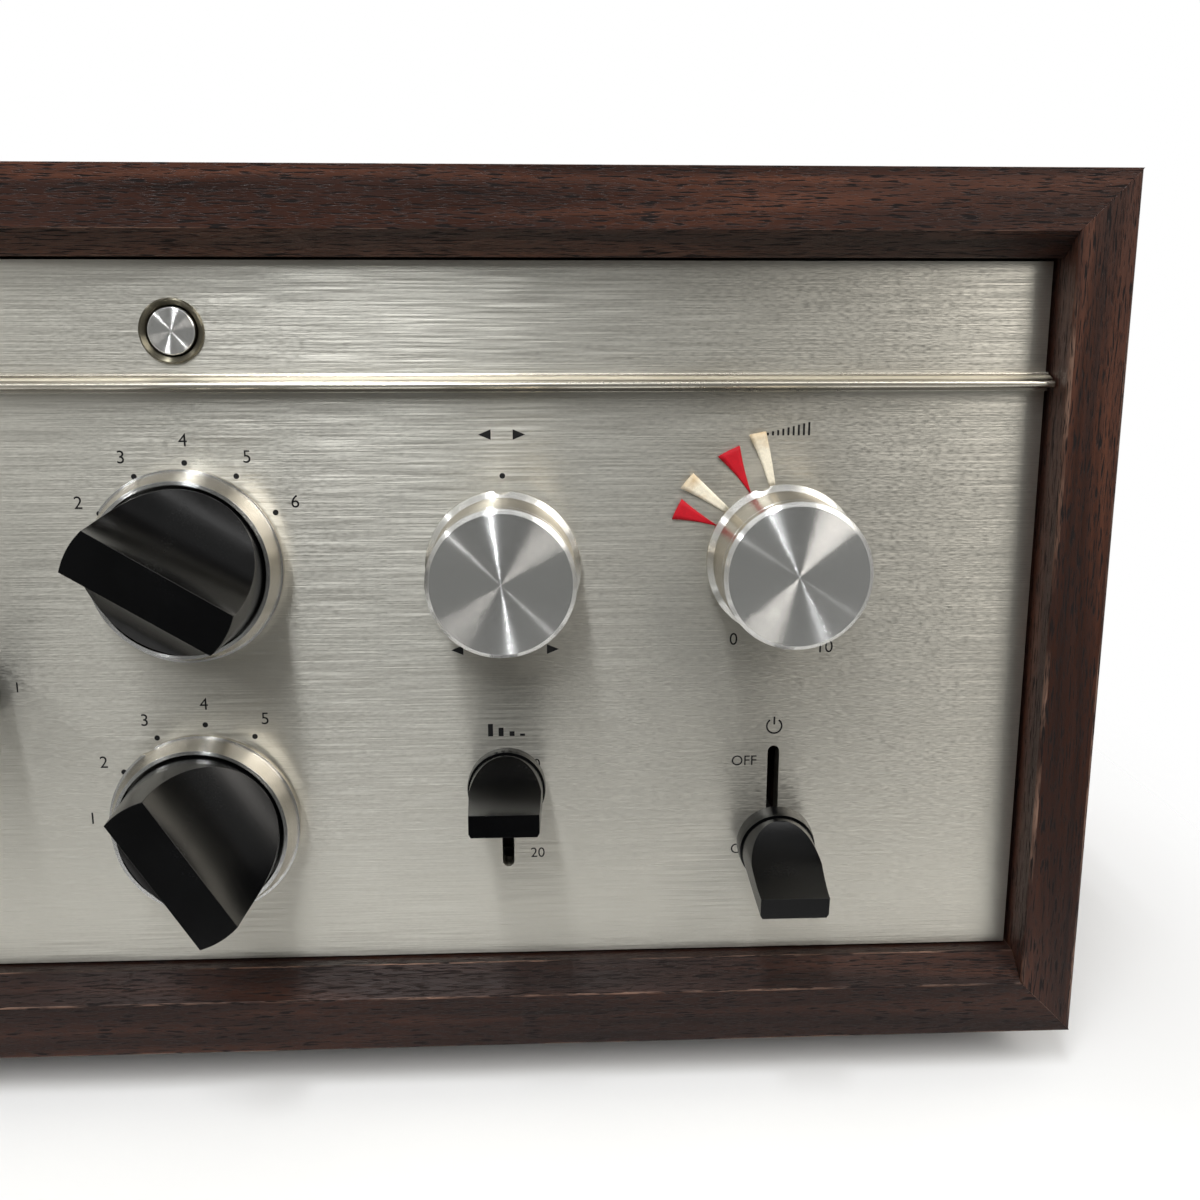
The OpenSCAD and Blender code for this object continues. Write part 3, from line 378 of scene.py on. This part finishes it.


# The bottom board's tone is lowered as painted shade: its front is darkened as the light falls off towards the
# bottom.
BOARDS = {"case_top": ("X", 1, 0.24), "case_bottom": ("X", 0.44, 0.22),
          "case_left": ("Z", 0.88, 0.24), "case_right": ("Z", 0.88, 0.24)}
WOOD = {board: [wood(board + "_wood", *kind), wood(board + "_worn", *kind, True)]
        for board, kind in BOARDS.items()}
TRIM_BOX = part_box("trim_strip")
LIP_H = 0.5 * MM
BEAD_TOP = 2.25 * MM
BEAD_FOOT = 0.75 * MM
# Heights of the trim's seams, along which painted shade is laid as dark lines.
TRIM_SEAMS = [TRIM_BOX[1].z - LIP_H, TRIM_BOX[0].z + BEAD_TOP, TRIM_BOX[0].z + BEAD_FOOT]
SILVER_ENDS = [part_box("tubes")[1].z - depth * MM for depth in (12, 8)]
LOOKS = {
    "rosewood": WOOD["case_top"][0],
    "brushed_champagne": brushed("brushed_champagne", (0.64, 0.62, 0.555), 0.39, 0.08),
    "trim_metal": brushed("trim_metal", (0.7, 0.66, 0.57), 0.26, 0.002, TRIM_SEAMS),
    # The second colour is a painted reflection of the champagne panel on the sides of the knobs and rings.
    "spun_silver": spun("spun_silver", (0.86, 0.86, 0.845), (0.47, 0.43, 0.36), 0.21),
    "black_caps": satin_black("black_caps", (0.0011, 0.0012, 0.0014), 0.23),
    "bezel_ring": spun("bezel_ring", (0.2, 0.185, 0.14), (0.2, 0.185, 0.14), 0.35),
    "brass_fittings": worn_metal("brass_fittings", (0.62, 0.45, 0.19), (0.26, 0.15, 0.06), 0.3,
                                 (1800, 1800, 1800)),
    "lever_steel": worn_metal("lever_steel", (0.6, 0.6, 0.58), (0.3, 0.27, 0.22), 0.26, (900, 900, 9000)),
    "sheet_steel": zinc("sheet_steel", (0.56, 0.57, 0.57), 0.38),
    "rear_paint": enamel("rear_paint", (0.05, 0.051, 0.054), (0.17, 0.16, 0.145)),
    "rubber": rubber("rubber", (0.018, 0.018, 0.018), (0.09, 0.085, 0.078)),
    "screw_steel": worn_metal("screw_steel", (0.58, 0.58, 0.57), (0.2, 0.16, 0.12), 0.3,
                              (2600, 2600, 2600)),
    "bakelite": moulded("bakelite", (0.05, 0.021, 0.011), (0.13, 0.055, 0.026), 0.32),
    "pot_steel": worn_metal("pot_steel", (0.56, 0.55, 0.5), (0.27, 0.23, 0.16), 0.33, (2200, 300, 2200)),
    "core_iron": laminated("core_iron", (0.12, 0.12, 0.125), (0.24, 0.235, 0.23)),
    "winding": wound("winding", (0.5, 0.22, 0.085), (0.05, 0.022, 0.01)),
    "can_aluminium": worn_metal("can_aluminium", (0.74, 0.74, 0.73), (0.45, 0.44, 0.42), 0.32,
                                (120, 120, 3200), 0.35),
    "tube_glass": glass("tube_glass", (0.9, 0.95, 0.93), *SILVER_ENDS),
    "ceramic": glazed("ceramic", (0.72, 0.69, 0.6), (0.26, 0.17, 0.09)),
    "socket_plating": worn_metal("socket_plating", (0.68, 0.66, 0.62), (0.33, 0.28, 0.2), 0.2,
                                 (2400, 300, 2400), 0.45),
    "outlet_plastic": moulded("outlet_plastic", (0.018, 0.014, 0.012), (0.045, 0.032, 0.025), 0.3),
}

RUBBED_EDGE = satin_black("black_caps_rubbed", (0.014, 0.0137, 0.0133), 0.28)

for part in frame["record"]["subparts"]:
    mesh = NODES[part["node"]].data
    mesh.materials.clear()
    mesh.materials.append(LOOKS[part["material_slot"]])


def piece(name, mesh, body, materials, place=(0, 0, 0)):
    """A new piece of the object that rides on a body."""
    made = bpy.data.objects.new(name, mesh)
    made.location = place
    SCENE.collection.objects.link(made)
    for material in materials:
        mesh.materials.append(material)
    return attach(made, body)


ROUNDED_FROM = math.radians(22)
CREASED_FROM = math.radians(35)
ROUND_STEPS = 3
MITRE_SHARE = 0.15
TRIM_SHARE = 0.36


def softened(node, width, materials=None, share=None):
    """A copy of a CAD node with its sharp edges rounded, in place of that node."""
    body = BODY_OF[node]
    origin = AXIS_OF.get(body, Vector((0, 0, 0)))
    bm = bmesh.new()
    bm.from_mesh(NODES[node].data)
    bmesh.ops.remove_doubles(bm, verts=bm.verts, dist=1e-6)
    bmesh.ops.dissolve_limit(bm, angle_limit=math.radians(0.3), verts=bm.verts, edges=bm.edges)
    weight = bm.edges.layers.float.new("bevel_weight_edge")
    for edge in bm.edges:
        if len(edge.link_faces) == 2 and edge.calc_face_angle() > ROUNDED_FROM:
            edge[weight] = share(edge) if share else 1
    mesh = bpy.data.meshes.new(node + "_soft")
    bm.to_mesh(mesh)
    bm.free()
    mesh.transform(Matrix.Translation(-origin))
    made = piece(node + "_soft", mesh, body, materials or [LOOKS[SLOT_OF[node]]], origin)
    rounding = made.modifiers.new("rounding", "BEVEL")
    rounding.limit_method = "WEIGHT"
    rounding.width = width
    rounding.segments = ROUND_STEPS
    rounding.material = len(mesh.materials) - 1
    mesh.shade_smooth()
    mesh.set_sharp_from_angle(angle=CREASED_FROM)
    made.modifiers.new("normals", "WEIGHTED_NORMAL").keep_sharp = True
    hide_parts(node)


def mitre_share(edge):
    """Mitred faces meet closely, so their edges are hardly rounded."""
    mitred = any(abs(f.normal.x) > 0.1 and abs(f.normal.z) > 0.1 for f in edge.link_faces)
    return MITRE_SHARE if mitred else 1


def lip_share(edge):
    """The trim's upper lip is rounded over most of its height, its other edges only a little."""
    on_top = all(v.co.z > TRIM_BOX[1].z - 0.05 * MM and v.co.y < PANEL_Y - 0.1 * MM for v in edge.verts)
    return 1 if on_top else TRIM_SHARE


BOARD_EDGE = 0.7 * MM
PANEL_EDGE = 0.25 * MM
BUTTON_EDGE = 0.25 * MM
LIP_EDGE = 0.22 * MM
TURNED_EDGE = 0.12 * MM
CAP_EDGE = 0.3 * MM
REAR_EDGE = 0.3 * MM
BEZEL_EDGE = 0.1 * MM
PLATED_EDGE = 0.15 * MM
MOULDED_EDGE = 0.35 * MM
for board, looks in WOOD.items():
    softened(board, BOARD_EDGE, looks, mitre_share)
softened("front_panel", PANEL_EDGE)
softened("trim_strip", LIP_EDGE, share=lip_share)
for name in ("volume", "balance", "bass", "treble"):
    softened(name + "_knob", TURNED_EDGE)
for name in ("input", "mode", "turnover", "filter"):
    softened(name + "_ring", TURNED_EDGE)
    softened(name + "_cap", CAP_EDGE, [LOOKS["black_caps"], RUBBED_EDGE])
for name in ("power", "attenuator", "low_cut", "high_cut", "tape", "dub"):
    softened(name + "_lever_cap", CAP_EDGE, [LOOKS["black_caps"], RUBBED_EDGE])
softened("push_button", BUTTON_EDGE)
softened("button_bezel", BEZEL_EDGE)
softened("rear_panel", REAR_EDGE)
for node in ("phono_sockets", "ground_post"):
    softened(node, PLATED_EDGE)
for node in ("mains_outlets", "fuse_holder", "cord_bushing", "feet"):
    softened(node, MOULDED_EDGE)


def ink(name, colour):
    """Printing ink, a little uneven in colour and gloss where the metal's lines show through."""
    s = Shader(name, Specular_IOR_Level=0.3)
    lines = s.noise(1, (600, 1, 9000), detail=2)
    s.set(Base_Color=s.ramp(lines, (0.35, scaled(colour, 0.8)), (0.75, scaled(colour, 2.2))),
          Roughness=s.spread(lines, 0.3, 0.7, 0.4, 0.6))
    s.bump(lines, 0.002 * MM)
    return s.material


def paper(name, colour, stain):
    """Coloured paper: fibres, faint creases and a stain in places, most of all at its outer end."""
    s = Shader(name, Specular_IOR_Level=0.25)
    fibres = s.noise(1800, detail=4, rough=0.7)
    blots = s.noise(210, detail=4)
    radius = s.vector("LENGTH", s.place((1, 0, 1)), output=1)
    uneven = s.math("ADD", radius, s.spread(blots, 0.3, 0.7, -2 * MM, 2 * MM))
    outer = s.spread(uneven, 22 * MM, 25 * MM, 0, 0.85)
    soiled = s.math("MAXIMUM", s.spread(blots, 0.58, 0.72), outer)
    ground = s.ramp(fibres, (0.3, scaled(colour, 0.85)), (0.7, scaled(colour, 1.08)))
    s.set(Base_Color=s.mix(soiled, ground, stain), Roughness=s.spread(fibres, 0.3, 0.7, 0.55, 0.75))
    s.bump(fibres, 0.03 * MM)
    return s.material


INK_T = 0.02 * MM
DOT_R = 0.55
TEXT_SIZE = 3.5
TEXT_RISE = 0.36
FACE_ON = Matrix.Rotation(math.radians(90), 4, "X")


class Print:
    """Marks laid on a flat face across Y, gathered into one piece. Places and sizes are in millimetres."""

    def __init__(self, y, turn=0):
        self.y = y
        self.turn = Matrix.Rotation(math.radians(turn), 4, "Z") @ FACE_ON
        self.sheet = bmesh.new()

    def lay(self, curve, x, z):
        curve.extrude = INK_T
        maker = bpy.data.objects.new("mark", curve)
        SCENE.collection.objects.link(maker)
        bpy.context.view_layer.update()
        mesh = bpy.data.meshes.new_from_object(maker.evaluated_get(bpy.context.evaluated_depsgraph_get()))
        mesh.transform(Matrix.Translation((x * MM, self.y, z * MM)) @ self.turn)
        self.sheet.from_mesh(mesh)
        bpy.data.meshes.remove(mesh)
        bpy.data.objects.remove(maker)
        bpy.data.curves.remove(curve)

    def done(self, name, material):
        mesh = bpy.data.meshes.new(name)
        self.sheet.to_mesh(mesh)
        self.sheet.free()
        piece(name, mesh, "cabinet", [material])

    def text(self, words, x, z, size=TEXT_SIZE):
        curve = bpy.data.curves.new("text", "FONT")
        curve.body = words
        curve.size = size * MM
        curve.align_x = "CENTER"
        self.lay(curve, x, z - TEXT_RISE * size)

    def shape(self, x, z, *outlines):
        """Filled outlines, each a list of points round (x, z)."""
        curve = bpy.data.curves.new("shape", "CURVE")
        curve.dimensions = "2D"
        curve.fill_mode = "BOTH"
        for points in outlines:
            line = curve.splines.new("POLY")
            line.points.add(len(points) - 1)
            for point, (across, up) in zip(line.points, points):
                point.co = (across * MM, up * MM, 0, 1)
            line.use_cyclic_u = True
        self.lay(curve, x, z)

    def dot(self, x, z):
        self.shape(x, z, arc(DOT_R, 0, 360))


ARC_STEPS = 24


def arc(radius, start, end):
    """Points along an arc, with its angles clockwise from the top."""
    turns = [math.radians(start + (end - start) * i / ARC_STEPS) for i in range(ARC_STEPS + 1)]
    return [(radius * math.sin(a), radius * math.cos(a)) for a in turns]


def on_dial(body, angle, radius):
    """A place round a control's axis, with its angle clockwise from the top."""
    axis = AXIS_OF[body] / MM
    turn = math.radians(angle)
    return axis.x + radius * math.sin(turn), axis.z + radius * math.cos(turn)


DOT_RADIUS = 19.2
NUMBER_RADIUS = 23.6
marks = Print(PANEL_Y)
for body, angles in {"input": range(-90, 61, 30), "mode": range(-90, 31, 30),
                     "turnover": range(-60, 61, 30), "filter": range(-60, 61, 30)}.items():
    for number, angle in enumerate(angles, 1):
        marks.dot(*on_dial(body, angle, DOT_RADIUS))
        marks.text(str(number), *on_dial(body, angle, NUMBER_RADIUS))

ARROW = [(-1.5, 0), (0.9, 1), (0.9, -1)]
ARROW_BACK = [(-x, z) for x, z in ARROW]
PEN = 0.18
ARM = 1.2
PLUS = [(-ARM, PEN), (-ARM, -PEN), (-PEN, -PEN), (-PEN, -ARM), (PEN, -ARM), (PEN, -PEN),
        (ARM, -PEN), (ARM, PEN), (PEN, PEN), (PEN, ARM), (-PEN, ARM), (-PEN, PEN)]
MINUS = [(-ARM, PEN), (ARM, PEN), (ARM, -PEN), (-ARM, -PEN)]
RAMP = [[(x - 0.2, -1.3), (x + 0.2, -1.3), (x + 0.2, 0.25 * x), (x - 0.2, 0.25 * x)] for x in range(-4, 6)]
KNOB_TOP = 17.3
LABEL_RISE = 25.2
END_ANGLE = 152
END_RADIUS = 19.5
ZERO_RADIUS = 18.6
TEN_RADIUS = 20.6
ARROW_GAP = 3
for body in ("balance", "bass", "treble"):
    marks.dot(*on_dial(body, 0, KNOB_TOP))
marks.shape(*on_dial("balance", 0, LABEL_RISE), [(x - ARROW_GAP, z) for x, z in ARROW],
            [(x + ARROW_GAP, z) for x, z in ARROW_BACK])
marks.shape(*on_dial("balance", -END_ANGLE, END_RADIUS), ARROW)
marks.shape(*on_dial("balance", END_ANGLE, END_RADIUS), ARROW_BACK)
for body in ("bass", "treble"):
    marks.shape(*on_dial(body, -END_ANGLE, END_RADIUS), MINUS)
    marks.shape(*on_dial(body, END_ANGLE, END_RADIUS), PLUS)
marks.shape(*on_dial("volume", 0, LABEL_RISE), *RAMP)
marks.text("0", *on_dial("volume", -END_ANGLE, ZERO_RADIUS))
marks.text("10", *on_dial("volume", END_ANGLE, TEN_RADIUS))

SLOT_SIDE = 6
SLOT_END = 9.6
SLOT_BESIDE = 9.4
ICON_RISE = 16.8
SMALL_TEXT = 3
power = AXIS_OF["power"] / MM
marks.text("OFF", power.x - SLOT_SIDE, power.z + SLOT_END, SMALL_TEXT)
marks.text("ON", power.x - SLOT_SIDE, power.z - SLOT_END, SMALL_TEXT)
OPEN_RING = arc(1.7, 35, 325) + arc(1.35, 325, 35)
STROKE = [(-PEN, 0.3), (-PEN, 2), (PEN, 2), (PEN, 0.3)]
marks.shape(power.x, power.z + ICON_RISE, OPEN_RING, STROKE)
pad = AXIS_OF["attenuator"] / MM
marks.text("0", pad.x + SLOT_SIDE, pad.z + SLOT_END, SMALL_TEXT)
marks.text("20", pad.x + SLOT_SIDE, pad.z - SLOT_END, SMALL_TEXT)
STEPS = [[(x - 0.5, -1.3), (x + 0.5, -1.3), (x + 0.5, top), (x - 0.5, top)]
         for x, top in ((-3.2, 1.3), (-1.1, 0.5), (1.1, -0.3), (3.2, -0.8))]
marks.shape(pad.x, pad.z + ICON_RISE, *STEPS)
for body in ("low_cut", "high_cut"):
    place = AXIS_OF[body] / MM
    marks.text("0", place.x + SLOT_SIDE, place.z + SLOT_END, SMALL_TEXT)
    marks.text("1", place.x + SLOT_SIDE, place.z - SLOT_END, SMALL_TEXT)
for number, body in enumerate(("tape", "dub"), 1):
    place = AXIS_OF[body] / MM
    marks.text(str(number), place.x + math.copysign(SLOT_BESIDE, place.x), place.z, SMALL_TEXT)

marks.done("panel_print", ink("panel_ink", (0.0035, 0.0035, 0.004)))

PINS = {mount["name"]: Vector(mount["pos_m"]) / MM
        for mount in frame["record"]["mounts"] if mount["kind"] == "pin"}
REAR_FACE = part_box("rear_panel")[1].y
SOCKET_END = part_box("phono_sockets")[1].y
LABEL_GAP = 9.5
REAR_TEXT = 4
INSERT_R = 3.2
INSERT_BORE_R = 1.4
ROW_COLOURS = {"upper": (0.62, 0.57, 0.45), "lower": (0.3, 0.018, 0.016)}
labels = Print(REAR_FACE, 180)
sleeves = {row: Print(SOCKET_END, 180) for row in ROW_COLOURS}
for name, at in PINS.items():
    _, number, row = name.split("_")
    sleeves[row].shape(at.x, at.z, arc(INSERT_R, 0, 360), arc(INSERT_BORE_R, 360, 0))
    if row == "upper":
        labels.text(number, at.x, at.z + LABEL_GAP, REAR_TEXT)
ends = [min(p.x for p in PINS.values()), max(p.x for p in PINS.values())]
for letter, row in (("L", "upper"), ("R", "lower")):
    level = PINS["phono_1_" + row].z
    for x in (ends[0] - LABEL_GAP, ends[1] + LABEL_GAP):
        labels.text(letter, x, level, REAR_TEXT)
labels.done("rear_print", ink("rear_ink", (0.55, 0.54, 0.5)))
for row, colour in ROW_COLOURS.items():
    sleeves[row].done("phono_inserts_" + row, moulded("insert_" + row, colour, scaled(colour, 0.7), 0.35))

PAPER_T = 0.1 * MM
MARKER_INNER = 14.3
RED = paper("red_paper", (0.46, 0.004, 0.014), (0.38, 0.006, 0.014))
CREAM = paper("cream_paper", (0.8, 0.74, 0.6), (0.52, 0.36, 0.18))


def marker(name, inner, outer, reach, curl, material):
    """A wedge of paper stuck beside the volume knob, its outer end curling off the panel."""
    axis = AXIS_OF["volume"]
    bm = bmesh.new()
    long, wide = 10, 4
    rows = []
    for i in range(long + 1):
        out = i / long
        radius = (MARKER_INNER + (reach - MARKER_INNER) * out) * MM
        row = []
        for j in range(wide + 1):
            share = j / wide
            near = inner[0] + (inner[1] - inner[0]) * share
            far = outer[0] + (outer[1] - outer[0]) * share
            angle = math.radians(near + (far - near) * out)
            lift = PAPER_T + curl * MM * (out ** 3 + 0.15 * out * math.sin(3 * share))
            place = (radius * math.sin(angle), PANEL_Y - axis.y - lift, radius * math.cos(angle))
            row.append(bm.verts.new(place))
        rows.append(row)
    for low, high in zip(rows, rows[1:]):
        for j in range(wide):
            bm.faces.new((low[j], low[j + 1], high[j + 1], high[j]))
    bmesh.ops.recalc_face_normals(bm, faces=bm.faces)
    mesh = bpy.data.meshes.new(name)
    bm.to_mesh(mesh)
    bm.free()
    made = piece(name, mesh, "cabinet", [material], axis)
    made.modifiers.new("thickness", "SOLIDIFY").thickness = PAPER_T
    mesh.shade_smooth()


marker("marker_1", (-63.5, -62.5), (-70, -59), 22.8, 0.3, RED)
marker("marker_2", (-51, -46), (-55, -46), 24.2, 0.7, CREAM)
marker("marker_3", (-26, -25), (-32.5, -21), 23.6, 0.3, RED)
marker("marker_4", (-10, -5), (-15.6, -8), 25, 0.6, CREAM)

# The camera's place in metres and its lens in millimetres, as fitted to the photograph
EYE_X = 0.1219
EYE_GAP = 0.23613
EYE_Z = 0.15581
EYE_TILT = math.radians(77.465)
EYE_TURN = math.radians(-2.734)
SENSOR_MM = 36
LENS_MM = 38.262


def make_camera():
    """The photograph's own view, fitted to the edges of the case and to the marks on the panel."""
    data = bpy.data.cameras.new("camera")
    data.sensor_width = SENSOR_MM
    data.sensor_fit = "HORIZONTAL"
    data.lens = LENS_MM
    data.clip_start = 0.01
    camera = bpy.data.objects.new("camera", data)
    camera.location = (EYE_X, CASE_BOX[0].y - EYE_GAP, EYE_Z)
    camera.rotation_euler = (EYE_TILT, 0, EYE_TURN)
    SCENE.collection.objects.link(camera)
    SCENE.camera = camera


FLOOR_HALF = 2
FADE_START = 0.03
FADE_END = 0.13


def make_floor():
    """A plain pale floor that fades into the white backdrop away from the object."""
    mesh = bpy.data.meshes.new("floor")
    end = FLOOR_HALF
    mesh.from_pydata([(-end, -end, 0), (end, -end, 0), (end, end, 0), (-end, end, 0)], [], [(0, 1, 2, 3)])
    floor = bpy.data.objects.new("floor", mesh)
    SCENE.collection.objects.link(floor)
    s = Shader("floor", Base_Color=(0.8, 0.8, 0.8, 1), Roughness=0.9, Specular_IOR_Level=0.1)
    half = (CASE_BOX[1] - CASE_BOX[0]) / 2
    middle = (CASE_BOX[1] + CASE_BOX[0]) / 2
    where = s.add("TexCoord", {}).outputs["Object"]
    away = s.vector("ABSOLUTE", s.vector("SUBTRACT", where, (middle.x, middle.y, 0)))
    away = s.vector("MAXIMUM", s.vector("SUBTRACT", away, (half.x, half.y, 0)), (0, 0, 0))
    gap = s.vector("LENGTH", away, output=1)
    s.set(Alpha=s.spread(gap, FADE_START, FADE_END, 1, 0, interpolation_type="SMOOTHSTEP"))
    mesh.materials.append(s.material)


def make_lamp(name, place, aim, size, power, colour=(1, 1, 1), turn=0, shape="RECTANGLE"):
    """An area lamp that faces a point, turned by some degrees about its own axis."""
    data = bpy.data.lights.new(name, "AREA")
    data.shape = shape
    data.size, data.size_y = size
    data.energy = power
    data.color = colour
    lamp = bpy.data.objects.new(name, data)
    lamp.location = place
    facing = (Vector(aim) - Vector(place)).to_track_quat("-Z", "Y")
    lamp.rotation_euler = (facing @ Quaternion((0, 0, 1), math.radians(turn))).to_euler()
    lamp.visible_camera = False
    SCENE.collection.objects.link(lamp)


def make_world():
    """White behind the object for the camera and in reflections, and a soft grey room in front of it."""
    world = bpy.data.worlds.new("world")
    SCENE.world = world
    world.use_nodes = True
    w = Tree(world.node_tree)
    direction = w.add("SeparateXYZ", {"Vector": w.add("TexCoord", {}).outputs["Generated"]}).outputs
    height = w.spread(direction["Z"], 0, 0.8, 0.05, 0.3, interpolation_type="SMOOTHSTEP")
    below = w.spread(direction["Z"], -0.3, -0.6, 0, 0.2, interpolation_type="SMOOTHSTEP")
    aside = w.math("ABSOLUTE", direction["X"], 0)
    walls = w.spread(aside, 0.15, 0.7, 0, 0.42, interpolation_type="SMOOTHSTEP")
    level = w.math("ADD", w.math("ADD", height, walls), below)
    room = w.tree.nodes["Background"]
    w.put((1, 1, 0.97, 1), room.inputs["Color"])
    w.put(level, room.inputs["Strength"])
    white = w.add("Background", {"Color": (1, 1, 1, 1)})
    ray = w.add("LightPath", {}).outputs
    shiny = w.math("ADD", ray["Is Glossy Ray"], ray["Is Transmission Ray"])
    mirrored = w.math("MULTIPLY", shiny, w.spread(direction["Y"], -0.1, 0.3))
    seen = w.math("MAXIMUM", ray["Is Camera Ray"], mirrored)
    join = w.add("MixShader", {0: seen, 1: room.outputs[0], 2: white.outputs[0]})
    w.put(join.outputs[0], w.tree.nodes["World Output"].inputs[0])


make_camera()
make_floor()
make_world()
AIM = (0.12, -0.1, 0.1)
CEILING = 1.55
TUBES_Y = -1.7
for number, x in enumerate((-0.24, -0.17), 1):
    make_lamp(f"tube_{number}", (x, TUBES_Y, CEILING), (x, TUBES_Y, 0), (0.02, 2.4), 17,
              (0.96, 0.98, 1), turn=-4)
make_lamp("right_box", (1.2, -1.3, 0.95), AIM, (0.85, 1.1), 17, (1, 0.955, 0.9), shape="ELLIPSE")
make_lamp("ceiling_strip", (0.3, -0.8, 1.2), AIM, (2.6, 0.1), 5)
make_lamp("back_box", (-0.5, 1.7, 1.3), (0, 0.1, 0.1), (1, 0.7), 16)
make_lamp("left_slit", (-1.03, -1.27, 0.83), AIM, (0.014, 0.8), 3, turn=60)
SCENE.view_settings.view_transform = "Standard"
